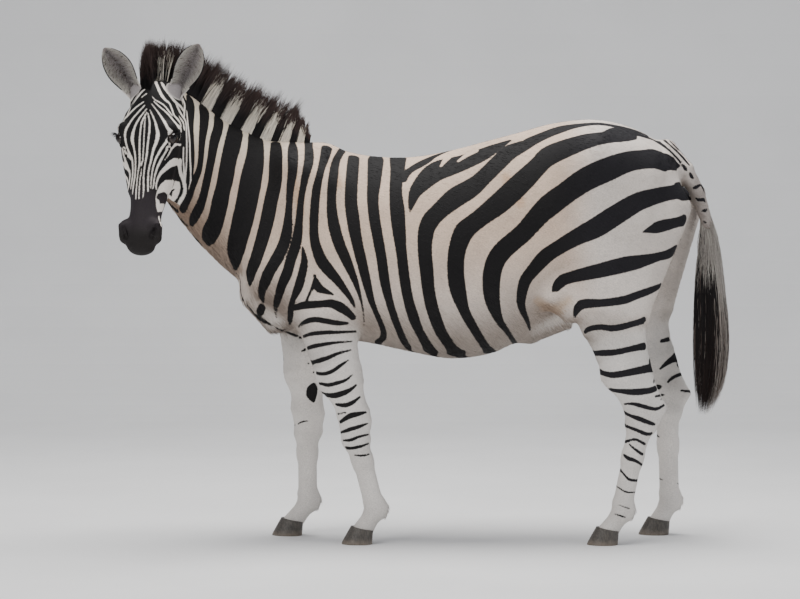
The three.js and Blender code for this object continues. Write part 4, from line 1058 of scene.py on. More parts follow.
UNIT = -PLAN_VIEW[1] / PLAN_FOCUS  # millimetres in a plan unit, at the middle of the body
DEEP = 12  # marks are kept within this many millimetres of an edge
SPINE_STARTS, SPINE_LOW, SPINE_HALF, DOCK_TOP = -300, 1180, 5.0, 1195
EYE_RING = 25, 14  # the half length and height of the dark skin round an eye
CHEEK_BAND = 40  # the pitch of the plain bands
SHARE_REACH = POLL[0] + 240  # nothing past this x is the head's


def ear_root(points):
    """How far inside the grey patch at the root of an ear each point lies, in millimetres."""
    down, out, front = head_place(points).T
    return 34 - np.sqrt((down + 8) ** 2 + (np.abs(out) - 66) ** 2 + (front - 4) ** 2)


def body_mark(points):
    """How far inside a dark stripe of the body's own, its spine's or its dock's each point lies."""
    at = body_place(points)
    mark = np.minimum(paint(at, body_strokes), -paint(at, body_cuts))
    spine = np.where(points[:, 0] > SPINE_STARTS, SPINE_HALF - np.abs(at[:, 1]), FAR)
    mark = np.maximum(mark, np.where(at[:, 2] > SPINE_LOW, spine, FAR))
    on_dock = (dock(points) < 5) & (points[:, 2] < DOCK_TOP)
    mark = np.where(on_dock, paint(at, dock_strokes), mark)
    return np.clip(mark, -DEEP, DEEP)


def face_mark(points, seen, facing):
    """How far inside a dark marking of the head each point lies.

    The plan's strokes give way, where the head turns from it, to plain bands and a dark muzzle.
    """
    on_head = head_place(points)
    down, _, front = on_head.T
    mark = -paint(on_head, face_strokes)
    mark = np.minimum(mark, -within(seen, CHIN_PATCH) * UNIT)
    mark = np.maximum(mark, within(seen, CHIN_SPOT) * UNIT)
    mark = np.maximum(mark, paint(on_head, chin_strokes))
    for side in (1, -1):
        look, long, short = eye_axes(side)
        p = on_head - head_place(eye_centres[side][None])
        ring = 1 - np.hypot(p @ long / EYE_RING[0], (p @ short - 1.5) / EYE_RING[1])
        mark = np.maximum(mark, np.where(p @ look > 0, EYE_RING[1] * ring, FAR))
    mark = np.clip(mark, -DEEP, DEEP)
    wave = (down + 0.55 * front + 14 * np.sin(front / 38) - 18) / CHEEK_BAND
    cheek = np.maximum(10.5 - np.abs(wave - np.round(wave)) * CHEEK_BAND, -10)
    hidden = mix(cheek, DEEP, smoothstep(down, 318, 336) * smoothstep(front, -90, -60))
    mark = mix(hidden, mark, smoothstep(facing, 0.02, 0.28))
    return np.where((down > 300) & (within(seen, MUZZLE) > 0) & (facing > 0.02), DEEP, mark)


def head_share(points, seen, facing):
    """How much each point is the head's: by its outline where the plan shows it, else by the nearer form."""
    down, _, front = head_place(points).T
    ahead = points[:, 0] < SHARE_REACH
    share = smoothstep(barrel(points) - skull(points), -14, 14) * ahead
    shown = smoothstep(facing, 0.0, 0.15) * (points[:, 1] < POLL[1] + 60)
    share = mix(share, smoothstep(within(seen, FACE_EDGE), -0.4, 0.4), shown)
    brow = np.minimum(front + 0.9 * down - 25, front + 15)
    return np.maximum(share, smoothstep(brow, 0, 25) * ahead)


def mark_of(points, normals):
    """How far inside a dark marking each point of the coat lies, in millimetres, and its head share."""
    seen = plan_place(points)
    facing = -(normals * plan_ray(seen)).sum(1)
    share = head_share(points, seen, facing)
    mark = mix(body_mark(points), face_mark(points, seen, facing), share)
    return np.where(ear_root(points) > 0, -6.0, mark), share


def marks_on(points):
    """The marks and head shares of points on the skin, with the normals there."""
    normals = slope_of(hide, points)
    normals /= np.linalg.norm(normals, axis=1)[:, None]
    return *mark_of(points, normals), normals


# Triangles are cut where a straight run from corner to corner would blur the edge of a marking.
BLUR, BY_EDGE = 1.25, 6
for _ in range(2):
    skin_mark, _, _ = marks_on(skin_points)
    flat = skin_mark[skin_faces].mean(1)
    centres = skin_points[skin_faces].mean(1)
    some = np.flatnonzero((np.abs(flat) < 10) & (centres[:, 2] > HOOF_HEIGHT))
    true, _, _ = marks_on(centres[some])
    blurred = np.zeros(len(skin_faces), bool)
    by_edge = np.minimum(np.abs(true), np.abs(flat[some])) < BY_EDGE
    blurred[some] = (np.abs(true - flat[some]) > BLUR) & by_edge
    skin_points, skin_faces = refine(skin_points, skin_faces, blurred, hide)
skin = make_mesh("skin", skin_points, skin_faces)
skin_mark, skin_head, vertex_normals = marks_on(skin_points)
give(skin, "mark", "FLOAT", skin_mark)


def coat_colours(points, normals, head):
    """The pale and the dark colour of the coat at each point, as linear red, green and blue."""
    s, n, z = unbend(points).T
    down = head_place(points)[:, 0]
    neck = smoothstep(-s, 300, 360) * (1 - head)
    buff, white = np.array([0.60, 0.46, 0.36]), np.array([0.63, 0.595, 0.56])

    def tinted(colour, tint, share):
        return mix(colour, np.array(tint), share[:, None])

    low = 1 - smoothstep(z + 0.25 * np.abs(n), 620, 1080)
    pale = tinted(buff, white, np.maximum(low, 0.75 * smoothstep(s, 480, 640)))
    # The face's hair is white, and it is made paler still as painted light: the sunlit look of the cheek is
    # painted into its colour.
    pale = tinted(pale, [0.84, 0.78, 0.71], head)  # brightest on the face
    pale = tinted(pale, [0.25, 0.23, 0.23], smoothstep(ear_root(points), -8, 8))
    on_dock = smoothstep(s, 915, 950) * (np.abs(n) < 45) * (z > 990) * (z < 1200)
    pale = tinted(pale, [0.34, 0.30, 0.275], on_dock)
    pale = pale * mix(1, 0.88, neck)[:, None]
    pale = tinted(pale, [0.70, 0.63, 0.50], 0.8 * smoothstep(z, 1160, 1320) * neck)  # cream by the crest
    # Painted shade: the coat is darkened where it faces downwards under the belly and chest, standing in for
    # the shade that falls there, with some dirt on the belly as well.
    under = smoothstep(-normals[:, 2], 0.05, 0.75) * smoothstep(z, 480, 600) * (1 - head)
    pale = pale * tinted(np.ones(3), [0.44, 0.40, 0.37], under)
    stain = smoothstep(paint(body_place(points), tint_strokes), -14, 6)
    pale = pale * tinted(np.ones(3), [0.86, 0.77, 0.67], stain)

    black, greyed = np.array([0.0065, 0.0058, 0.0062]), [0.0125, 0.0115, 0.0145]
    dark = tinted(black, greyed, 0.7 * smoothstep(s, 420, 640))
    dark = tinted(dark, [0.026, 0.021, 0.024], smoothstep(down, 300, 350) * head)  # sooty on the muzzle
    dark = tinted(dark, [0.012, 0.0105, 0.0095], smoothstep(down, 420, 475) * head * 0.8)  # and at the lips
    return pale, dark


pale, dark = coat_colours(skin_points, vertex_normals, skin_head)
give(skin, "pale", "FLOAT_COLOR", pale)
give(skin, "dark", "FLOAT_COLOR", dark)


class Nodes:
    """A material's node tree, built by short calls, most of which give back a node's output.

    An input is named by its socket, with _ for a space, or by its number, as i0.
    """

    def __init__(self, name):
        self.material = bpy.data.materials.new(name)
        self.material.use_nodes = True
        self.tree = self.material.node_tree
        self.tree.nodes.clear()
        self.out = self.tree.nodes.new("ShaderNodeOutputMaterial")

    def add(self, kind, settings=None, **inputs):
        node = self.tree.nodes.new("ShaderNode" + kind)
        for key, value in (settings or {}).items():
            setattr(node, key, value)
        for key, value in inputs.items():
            numbered = key[0] == "i" and key[1:].isdigit()
            self.put(node.inputs[int(key[1:]) if numbered else key.replace("_", " ")], value)
        return node

    def put(self, socket, value):
        """Links a socket to an output, or sets its value."""
        if isinstance(value, bpy.types.NodeSocket):
            self.tree.links.new(value, socket)
        else:
            socket.default_value = value

    def math(self, operation, a, b=0.0, c=0.0):
        return self.add("Math", {"operation": operation}, i0=a, i1=b, i2=c).outputs[0]

    def mix_colour(self, factor, a, b):
        node = self.add("Mix", {"data_type": "RGBA"}, i0=factor)
        for i, value in ((6, a), (7, b)):
            self.put(node.inputs[i], (*value, 1) if isinstance(value, tuple) else value)
        return node.outputs[2]

    def scale_colour(self, colour, tone):
        return self.add("VectorMath", {"operation": "SCALE"}, Vector=colour, Scale=tone).outputs[0]

    def noise(self, scale, detail=2.0, stretch=(1, 1, 1)):
        at = self.add("TexCoord").outputs["Object"]
        at = self.add("Mapping", None, Vector=at, Scale=stretch).outputs[0]
        return self.add("TexNoise", None, Vector=at, Scale=scale, Detail=detail, Roughness=0.5).outputs[0]

    def ramp(self, value, low, high, to_low=0.0, to_high=1.0):
        return self.add("MapRange", {"interpolation_type": "SMOOTHSTEP"}, i0=value, i1=low, i2=high,
                        i3=to_low, i4=to_high).outputs[0]

    def attribute(self, name, output="Color"):
        return self.add("Attribute", {"attribute_name": name}).outputs[output]

    def finish(self, **inputs):
        shader = self.add("BsdfPrincipled", None, **inputs)
        self.tree.links.new(shader.outputs[0], self.out.inputs[0])
        return self.material


def coat_material(name, bumps=True):
    """Pale and dark hair, parted where the mark changes sign, with a ragged edge of hair ends."""
    n = Nodes(name)
    ragged = n.math("MULTIPLY_ADD", n.noise(260, 3.0), 5.0, -2.5)
    edge = n.math("ADD", n.attribute("mark", "Fac"), ragged)
    inked = n.ramp(edge, -1.6, 1.6)
    cloud = n.ramp(n.noise(7, 3.0), 0.3, 0.7, 0.9, 1.07)
    strands = n.ramp(n.noise(900, 2.0, (0.22, 1, 0.5)), 0.25, 0.75, 0.84, 1.14)
    tone = n.math("MULTIPLY", cloud, strands)
    colour = n.scale_colour(n.mix_colour(inked, n.attribute("pale"), n.attribute("dark")), tone)
    inputs = dict(Base_Color=colour, Roughness=0.7, Specular_IOR_Level=0.18)
    if bumps:
        height = n.noise(700, 2.0, (0.2, 1, 0.45))
        inputs["Normal"] = n.add("Bump", None, Strength=0.35, Distance=0.0012, Height=height).outputs[0]
    return n.finish(**inputs)


coat_finish = coat_material("coat_hair")
skin.data.materials.append(coat_finish)
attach(skin, "root")
legs = [f"{leg}_{side}_{part}" for leg in ("foreleg", "hindleg")
        for side in ("left", "right") for part in ("upper", "lower")]
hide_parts("head", "neck", "trunk", "tail_dock", *legs)

# ---- Eyes ------------------------------------------------------------------------------------------
# Two dark eyeballs of glossy, wet-looking glass, each set in its socket under the lids of the skin,
# with a bulging clear front, a broad level pupil, and lashes along the upper lid.


def sphere_grid(levels, turns):
    """Directions over a sphere from its front pole: (cos a, sin a cos b, sin a sin b)."""
    a = np.linspace(0.02, math.pi - 0.02, levels)[:, None]
    b = np.linspace(0, 2 * math.pi, turns, endpoint=False)[None]
    return np.stack(np.broadcast_arrays(np.cos(a), np.sin(a) * np.cos(b), np.sin(a) * np.sin(b)), -1), a


def grid_faces(rows, columns):
    """Triangles between the rows of a grid, each of which runs round and meets itself."""
    i, j = np.meshgrid(np.arange(rows - 1), np.arange(columns), indexing="ij")
    a, b = i * columns + j, i * columns + (j + 1) % columns
    c, d = b + columns, a + columns
    return np.concatenate([np.stack([a, b, c], -1), np.stack([a, c, d], -1)]).reshape(-1, 3)


def capped(rings):
    """A closed mesh of rings (rows, columns, 3), each end a fan to its ring's middle, facing outwards."""
    rows, columns = rings.shape[:2]
    points = np.concatenate([rings.reshape(-1, 3), rings[0].mean(0)[None], rings[-1].mean(0)[None]])
    here = np.arange(columns)
    after = (here + 1) % columns
    first, end = rows * columns, (rows - 1) * columns
    near_fan = np.stack([np.full(columns, first), after, here], 1)
    far_fan = np.stack([np.full(columns, first + 1), end + here, end + after], 1)
    faces = np.concatenate([grid_faces(rows, columns), near_fan, far_fan])
    a, b, c = (points[faces[:, i]] for i in range(3))
    return points, faces if (a * np.cross(b, c)).sum() > 0 else faces[:, ::-1]


def eye_material():
    """A near-black brown iris round a darker level pupil, under a smooth wet film."""
    n = Nodes("wet_eye")
    pupil, iris, white = (0.002, 0.002, 0.0025), (0.009, 0.0045, 0.003), (0.035, 0.026, 0.022)
    streak = n.ramp(n.noise(900, 3.0), 0.3, 0.7, 0.75, 1.2)
    middle = n.mix_colour(n.ramp(n.attribute("pupil", "Fac"), 0.9, 1.1), pupil, iris)
    whole = n.mix_colour(n.ramp(n.attribute("iris", "Fac"), 0.95, 1.1), middle, white)
    return n.finish(Base_Color=n.scale_colour(whole, streak), Roughness=0.12, Specular_IOR_Level=0.3,
                    Coat_Weight=0.3, Coat_Roughness=0.03)


BULGE, BULGE_ENDS = 0.07, 0.75  # the clear front's rise, and the angle from its middle where it ends
PUPIL_LONG, PUPIL_SHORT, IRIS_ROUND = 0.42, 0.24, 0.78  # half sizes as shares of the eye's radius
eye_finish = eye_material()
for side, name in ((1, "left"), (-1, "right")):
    look, long, short = eye_axes(side)
    grid, angle = sphere_grid(28, 48)
    bulge = 1 + BULGE * (1 - smoothstep(angle, 0.0, BULGE_ENDS))
    local = grid * bulge[..., None] * EYE["radius"] @ np.stack([look, long, short])
    eyeball = make_mesh(f"eyeball_{name}", *capped(eye_centres[side] + local @ HEAD_AXES))
    ahead, u, v = np.concatenate([grid.reshape(-1, 3), [[1, 0, 0], [-1, 0, 0]]]).T
    give(eyeball, "pupil", "FLOAT", np.hypot(u / PUPIL_LONG, v / PUPIL_SHORT) + (ahead < 0))
    give(eyeball, "iris", "FLOAT", np.hypot(u, v) / IRIS_ROUND + (ahead < 0))
    eyeball.data.materials.append(eye_finish)
    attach(eyeball, "root")
    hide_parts(f"eye_{name}")

# Hair is made as closed three-sided prisms, each along a path of its own that tapers to its tip.
TUFT_PATCH = 0.003  # the width of one hair's place on the coat's flat map


def unit(vectors):
    return vectors / np.maximum(np.linalg.norm(vectors, axis=-1, keepdims=True), 1e-9)


def hair_paths(roots, headings, lengths, bows, levels):
    """Paths root + heading l t + bow l t^2, for t from 0 to 1."""
    t = np.linspace(0, 1, levels)[None, :, None]
    l = np.asarray(lengths)[:, None, None]
    return roots[:, None] + headings[:, None] * l * t + bows[:, None] * l * t * t


def hair(name, paths, widths, outward, flat_at, colours, finish, flatness=0.5):
    """Hairs along paths (n, levels, 3), of half widths (n, levels), lying flat against outward (n, 3).

    Each section is a triangle: two corners to the sides and one out along outward, flatness as high.
    The last level is the hair's point. The colours (mark, pale, dark) are given at each level.
    """
    count, levels = paths.shape[:2]
    run = np.gradient(paths, axis=1)
    sideways = unit(np.cross(run, outward[:, None]))
    up = unit(np.cross(sideways, run))
    w = widths[..., None]
    corners = np.stack([paths + sideways * w, paths - sideways * w, paths + up * w * flatness * 2], 2)
    sections = corners[:, :-1].reshape(count, -1, 3)
    points = np.concatenate([sections, paths[:, -1:]], 1)
    each = points.shape[1]
    last = each - 4
    point_fan = [[last, last + 1, each - 1], [last + 1, last + 2, each - 1], [last + 2, last, each - 1]]
    one = np.concatenate([grid_faces(levels - 1, 3), [[0, 2, 1]], point_fan])
    faces = (one[None] + (np.arange(count) * each)[:, None, None]).reshape(-1, 3)
    made = make_mesh(name, points.reshape(-1, 3), faces, smooth=False)
    level_of = np.r_[np.repeat(np.arange(levels - 1), 3), levels - 1]
    for key, value in zip(("mark", "pale", "dark"), colours):
        shape = (count, levels) if key == "mark" else (count, levels, 3)
        value = np.broadcast_to(value, shape)[:, level_of]
        kind = "FLOAT" if key == "mark" else "FLOAT_COLOR"
        give(made, key, kind, value.reshape(count * each) if key == "mark" else value.reshape(-1, 3))
    across = np.r_[np.tile([0.5, -0.5, 0.0], levels - 1), 0.0]
    place_in_patch = np.stack([across, level_of / (levels - 1) - 0.5], -1) * TUFT_PATCH
    uv = (flat_at[:, None] + place_in_patch[None]).reshape(-1, 2)
    layer = made.data.uv_layers.new(name="OFBake")
    order = np.empty(len(made.data.loops), np.int32)
    made.data.loops.foreach_get("vertex_index", order)
    layer.data.foreach_set("uv", uv[order].astype(np.float32).ravel())
    made.data.materials.append(finish)
    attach(made, "root")
    return made


def in_patch(across, up):
    """Flat places for shares across and up, kept clear of the flat map's edges."""
    return np.stack([across, up], 1) * 0.94 + 0.03


def tapered(widths, levels, tip=0.12, power=1.0):
    """Half widths from the root's down to a share of it at the tip, as 1 - t^power."""
    t = np.linspace(0, 1, levels)[None]
    return widths[:, None] * (tip + (1 - tip) * (1 - t**power))


# Linear red, green and blue of the long hair.
BLACK = np.array([0.0085, 0.0075, 0.008])
BROWN = np.array([0.052, 0.028, 0.021])
SILVER = np.array([0.55, 0.52, 0.47])
hair_finish = coat_material("long_hair", bumps=False)

LASHES, LASH_HALF, LASH_LEVELS = 90, 0.45, 4
LASH_LENGTH = (11, 20)
rng = np.random.default_rng(7)
for side, name in ((1, "left"), (-1, "right")):
    look, long, short = eye_axes(side)
    u = rng.uniform(-16.5, 13, LASHES)
    lift = UPPER_GAPE * np.sqrt(1 - (u / SLIT_HALF) ** 2)
    depth = np.sqrt((EYE["radius"] + LID) ** 2 - u**2 - lift**2)
    local = look * depth[:, None] + long * u[:, None] + short * (lift + 0.5)[:, None]
    heads = look * 0.9 + short * 0.1 + long * (u / 30)[:, None] + rng.normal(0, 0.08, (LASHES, 3))
    droop = unit((-short * 0.8 + look * 0.2)[None] @ HEAD_AXES).repeat(LASHES, 0) * 0.35
    roots = eye_centres[side] + local @ HEAD_AXES
    lengths = rng.uniform(*LASH_LENGTH, LASHES)
    paths = hair_paths(roots, unit(heads @ HEAD_AXES), lengths, droop, LASH_LEVELS)
    widths = tapered(np.full(LASHES, LASH_HALF), LASH_LEVELS)
    hair(f"lashes_{name}", paths, widths, unit(local @ HEAD_AXES), rng.random((LASHES, 2)) * 0.9 + 0.05,
         (5.0, SILVER, BLACK), hair_finish)

# ---- Ears ------------------------------------------------------------------------------------------
# Each ear is a leaf of gristle rolled into a cup, open to the front, with a soft rim and an inside
# filled with long pale hair. It grows out of the skin at the side of the poll.
EAR_LENGTH, EAR_WIDTH, EAR_WALL = 172, 88, 5
EAR_TIP_OUT = {1: 144, -1: 168}  # the right ear leans out further
EAR_SUNK = 0.06  # the share of its length that the ear reaches down into the head
EAR_HALF = smooth_curve([[0, 0.5], [0.2, 0.72], [0.5, 1], [0.75, 0.86], [0.92, 0.46], [1, 0.1]])
EAR_ROLL = smooth_curve([[0, 1.5], [0.3, 1.25], [0.7, 0.95], [1, 0.5]])


def ear_frame(side):
    root = head_point(0, side * 66, 4)
    tip = head_point(-138, side * EAR_TIP_OUT[side], 58)
    along = unit(tip - root)
    open_to = HEAD_FRONT + HEAD_LEFT * side * 0.25
    open_to = unit(open_to - along * (open_to @ along))
    return root, along, open_to, np.cross(along, open_to)


def ear_surface(side, t, turn, out):
    """Points of the rolled leaf: out from its middle wall, turn from -1 to 1 between its two rims."""
    root, along, open_to, across = ear_frame(side)
    half = EAR_WIDTH / 2 * EAR_HALF(t)[:, 0]
    roll = EAR_ROLL(t)[:, 0]
    radius = half / np.sin(np.minimum(roll, math.pi / 2))
    bow = 10 * np.sin(math.pi * t)
    angle = turn * roll
    r = radius + out
    middle = radius * np.cos(roll) - bow
    return (root + along * (t * EAR_LENGTH)[:, None] + open_to * (middle - r * np.cos(angle))[:, None]
            + across * (r * np.sin(angle))[:, None])


EAR_ROWS, EAR_TURNS, EAR_HAIRS = 40, 26, 2300
BACK_WHITE = np.array([0.62, 0.58, 0.52])
SOOT, RIM_GREY = np.array([0.27, 0.235, 0.225]), np.array([0.50, 0.47, 0.44])
for side, name in ((1, "left"), (-1, "right")):
    # The section runs over the back from rim to rim, round the rim, and back over the inside.
    t = np.linspace(-EAR_SUNK, 1, EAR_ROWS)
    turn = np.r_[np.linspace(-1, 1, EAR_TURNS), np.linspace(1, -1, EAR_TURNS)]
    outside = np.r_[np.ones(EAR_TURNS), -np.ones(EAR_TURNS)]
    tt, cc = np.meshgrid(t, turn, indexing="ij")
    _, oo = np.meshgrid(t, outside, indexing="ij")
    level = np.clip(tt, 0, 1).ravel()
    wall = EAR_WALL / 2 * (0.35 + 0.65 * (1 - np.abs(cc.ravel()) ** 4)) * mix(1.3, 0.6, level)
    wall = wall * np.sqrt(np.clip(1 - level**12, 0.02, 1))
    points = ear_surface(side, level, cc.ravel(), oo.ravel() * wall)
    points += ear_frame(side)[1] * (np.minimum(tt.ravel(), 0) * EAR_LENGTH)[:, None]
    points, faces = capped(points.reshape(EAR_ROWS, len(turn), 3))
    back = np.r_[oo.ravel() > 0, False, True]
    tall = np.r_[level, 0, 1]
    rim = np.r_[np.abs(cc.ravel()), 0, 1]
    # The back is white with a dark band, and the rim has a thin dark edge on both its sides.
    band = 9 - np.abs(tall - 0.66) * EAR_LENGTH * 0.55
    edged = (tall > 0.2) & (tall < 0.93)
    edge = np.where(edged, np.where(back, (rim - 0.9) * 60, (rim - 0.93) * 90), -6)
    mark = np.where(back, np.maximum(band, edge), edge)
    ear = make_mesh(f"ear_skin_{name}", points, faces)
    inside_tone = mix(SOOT, RIM_GREY, smoothstep(rim, 0.6, 0.95)[:, None])
    give(ear, "mark", "FLOAT", np.clip(mark, -8, 8))
    give(ear, "pale", "FLOAT_COLOR", np.where(back[:, None], BACK_WHITE, inside_tone))
    give(ear, "dark", "FLOAT_COLOR", np.tile(BLACK * 1.3, (len(points), 1)))
    ear.data.materials.append(coat_finish)
    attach(ear, "root")
    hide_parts(f"ear_{name}")

    # Long hair in the cup, from the rims inwards and up, paler by the rims and sooty in the middle.
    count = EAR_HAIRS
    t = rng.uniform(0.06, 0.93, count)
    turn = rng.uniform(-0.97, 0.97, count)
    roots = ear_surface(side, t, turn, -EAR_WALL * 0.3)
    inner = unit(ear_surface(side, t, turn, -9.0) - roots)
    _, along, open_to, across = ear_frame(side)
    swing = unit(ear_surface(side, t, turn * 0.8, -EAR_WALL * 0.4) - roots)
    heads = unit(along * 0.5 + swing * 0.7 + inner * 0.35 + rng.normal(0, 0.22, (count, 3)))
    lengths = rng.uniform(14, 30, count) * (1 - 0.5 * t)
    paths = hair_paths(roots, heads, lengths, inner * -0.12, 4)
    sooty = (np.abs(turn + 0.1) < 0.34) & (rng.random(count) < 0.18) | (rng.random(count) < 0.04)
    tone = rng.uniform(0.7, 1.1, count)[:, None]
    near_rim = smoothstep(np.abs(turn), 0.25, 0.95)[:, None]
    tone = tone * mix(np.array([0.34, 0.31, 0.305]), SILVER * 0.95, near_rim)
    hair(f"ear_hair_{name}", paths, tapered(np.full(count, 0.75), 4), inner, in_patch(t, turn / 2 + 0.5),
         (np.where(sooty, 4.0, -6.0)[:, None], tone[:, None], BROWN * 0.9), hair_finish)

# ---- Mane ------------------------------------------------------------------------------------------
# A stiff upright brush of hair along the crest of the neck, banded to match the neck's stripes, with
# dark tips. It ends over the poll in the forelock, which stands up between the ears.
crest_stations = [bend(s, 0, BARREL_CURVE(s)[0, 0]) for s in (-290, -380, -480, -580, -670, -750, -830)]
crest_stations = np.array([np.ravel(p) for p in crest_stations]
                          + [head_point(-26, 0, 8), head_point(20, 0, 54), head_point(56, 0, 76)])
crest_run = np.r_[0, np.cumsum(np.linalg.norm(np.diff(crest_stations, axis=0), axis=1))]
CREST = smooth_curve(np.c_[crest_run / crest_run[-1], crest_stations])
MANE_HEIGHT = smooth_curve([  # share of the way along the crest, height
    [0, 30], [0.06, 92], [0.15, 146], [0.35, 158], [0.7, 146], [0.86, 132], [0.9, 142], [0.95, 152], [1, 150],
])
# Where the plan shows the white bands start and end, from the poll to the withers.
WHITE_BANDS = [(199.5, 209.5), (219.5, 230), (240.5, 251.5), (260, 271), (279, 288.5), (296.5, 303.5)]
BAND_SOFT = 0.5  # how wide a band's edge is, in plan units
LOCKS = 170  # along the whole crest
ROOT_HALF = 13, 22  # half the mane's width at its roots, at the withers and at the poll
WORN_TIP, CREAM = np.array([0.115, 0.075, 0.066]), np.array([1, 0.98, 0.93])


def brush(name, count, low, high, seed, white_share=0.0, waist=0.0):
    """Hairs standing on the crest from its share low to its share high, in locks that lean together.

    White and dark follow the neck's bands, or past the last of them are mixed by white_share. A waist
    sets the roots closer, spreads the hairs above them and draws their tips together again.
    """
    rng = np.random.default_rng(seed)
    t = rng.uniform(low, high, count)
    across = rng.uniform(-1, 1, count)
    foot = CREST(t)
    run = unit(CREST(t + 0.004) - CREST(t - 0.004))
    tilt = mix(0.44, -0.04, smoothstep(t, 0.5, 0.9)) * mix(0.3, 1, smoothstep(t, 0, 0.14))
    up = np.stack([tilt, np.zeros(count), np.ones(count)], -1)
    lean = unit(up - 0.2 * (up * run).sum(1)[:, None] * run)
    side = unit(np.cross(run, lean))
    wide = mix(*ROOT_HALF, t) * (0.5 if waist else 1)
    roots = foot + side * (across * wide)[:, None]
    for _ in range(2 if waist else 4):
        roots = roots - lean * flesh(roots)[:, None]
    roots = roots - lean * 4
    lock = np.floor(t * LOCKS + across * 1.6).astype(int)
    swing = np.random.default_rng(seed + 1).normal(0, 1, (400, 3))[(lock * 7) % 400]
    heads = unit(lean + side * (across * 0.10)[:, None] + swing * 0.035 + rng.normal(0, 0.03, (count, 3)))
    domed = 0.94 - (0.16 + 0.5 * waist) * across**2 + 0.035 * swing[:, 0]
    tall = MANE_HEIGHT(t)[:, 0] * domed * rng.uniform(0.70, 1.05, count)
    bows = swing * 0.035 + rng.normal(0, 0.03, (count, 3)) + np.array([0.05, 0, -0.02])
    bows -= side * (across * waist)[:, None] * 1.25
    heads = unit(heads + side * (across * waist)[:, None])
    levels = 4
    paths = hair_paths(roots, heads, tall, bows, levels)
    seen = plan_place(foot)[:, 0] + rng.normal(0, 0.35, count)
    white = np.max([np.minimum(seen - a, b - seen) for a, b in WHITE_BANDS], axis=0)
    if white_share or low > 0.8:
        white = np.where(rng.random(count) < white_share, 3.0, -3.0)
    along = np.linspace(0, 1, levels)[None]
    tip = smoothstep(along + rng.uniform(-0.12, 0.12, count)[:, None], 0.66, 1.0) * 30
    mark = np.clip(-white[:, None] / BAND_SOFT * 3, -6, 6) + tip
    worn = smoothstep(along, 0.35, 1.0)[..., None] * rng.uniform(0.3, 1, count)[:, None, None]
    dark = mix(BLACK * 1.3, WORN_TIP, worn)
    pale = SILVER * rng.uniform(1.1, 1.6, count)[:, None, None] * CREAM
    flat_at = in_patch((t - low) / (high - low), across / 2 + 0.5)
    widths = tapered(rng.uniform(0.9, 1.45, count), levels, 0.2, 1.6)
    return hair(name, paths, widths, side, flat_at, (mark, pale, dark), hair_finish)


NECK_MANE, POLL_HAIR, FORELOCK = (0.0, 0.81), (0.81, 0.885), (0.89, 0.985)  # shares of the crest
mane = brush("mane_hair", 9600, *NECK_MANE, 11)
poll_hair = brush("poll_hair", 1300, *POLL_HAIR, 13, white_share=0.5)
forelock = brush("forelock_hair", 2800, *FORELOCK, 12, waist=0.6)
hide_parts("mane")
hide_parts("mane")
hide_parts("mane")

# ---- Tail ------------------------------------------------------------------------------------------
# The fleshy dock is part of the skin. Short pale hair lengthens down its sides into a fringe, and from
# its lower half hangs the long switch, black in front and brown and grey behind.
SWITCH = smooth_curve([
    # height, x, half length, half width
    [392, 974, 12, 10],
    [450, 988, 38, 28],
    [530, 996, 50, 36],
    [620, 999, 56, 41],
    [711, 997, 54, 40],
    [828, 992, 46, 34],
    [936, 989, 36, 28],
    [1024, 977, 31, 25],
    [1130, 946, 24, 22],
])


def switch_hair(name, count, seed, top, bottom, angles, tones, width):
    """Hairs that hang through the switch's swelling outline, each keeping its turn about the middle.

    Their heights start in the range top and end in the range bottom.
    """
    rng = np.random.default_rng(seed)
    levels = 6
    z0 = rng.uniform(*top, count)
    z1 = rng.uniform(*bottom, count)
    turn = rng.uniform(*angles, count)
    share = np.sqrt(rng.uniform(0.02, 1, count))
    along = np.linspace(0, 1, levels)[None]
    z = mix(z0[:, None], z1[:, None], along)
    x, long, wide = np.moveaxis(SWITCH(z.ravel()).reshape(count, levels, 3), -1, 0)
    spread = share[:, None] * smoothstep(along, -0.25, 0.35)
    wave = 5 * np.sin(along * rng.uniform(3, 7, count)[:, None] + rng.uniform(0, 6, count)[:, None]) * along
    x = x + long * np.cos(turn)[:, None] * spread + wave
    y = wide * np.sin(turn)[:, None] * spread + wave * 0.6 * np.cos(turn)[:, None]
    paths = np.stack([x, y, z], -1)
    outward = np.stack([np.cos(turn), np.sin(turn), np.zeros(count)], -1)
    mark, pale, dark = tones(rng, turn, share, along, z)
    flat_at = in_patch(turn / (2 * math.pi) % 1, (z0 - top[0]) / (top[1] - top[0]))
    widths = tapered(rng.uniform(0.7, 1.0, count) * width, levels, 0.25, 2)
    return hair(name, paths, widths, outward, flat_at, (mark, pale, dark), hair_finish)


def switch_tones(rng, turn, share, along, z):
    """Black in the front and heart of the switch, turning to brown and grey at its back and top."""
    count = len(turn)
    rear = smoothstep(np.cos(turn), 0.15, 0.8) * share
    grey = (rng.random(count) < 0.04 + 0.8 * rear)[:, None]
    raised = 90 * (np.cos(turn) * share)[:, None] + rng.normal(0, 34, count)[:, None]
    high = smoothstep(z + raised, 850, 960)
    mark = np.where(grey, -5.0, 5.0) - 12 * high
    silvered = np.clip(rng.random(count)[:, None] * 0.6 + high, 0, 1)[..., None]
    pale = mix(np.array([0.15, 0.112, 0.095]), SILVER * 0.8, silvered)
    browned = (rng.random(count) * 0.5)[:, None, None] * smoothstep(along, 0.3, 1)[..., None]
    return mark, pale, mix(BLACK, BROWN, browned)


def fringe_tones(rng, turn, share, along, z):
    """Grey to silver, each hair in one tone."""
    worn = mix(np.array([0.21, 0.185, 0.17]), SILVER * 0.72, rng.random(len(turn))[:, None])
    return np.full(z.shape, -5.0), worn[:, None], BROWN


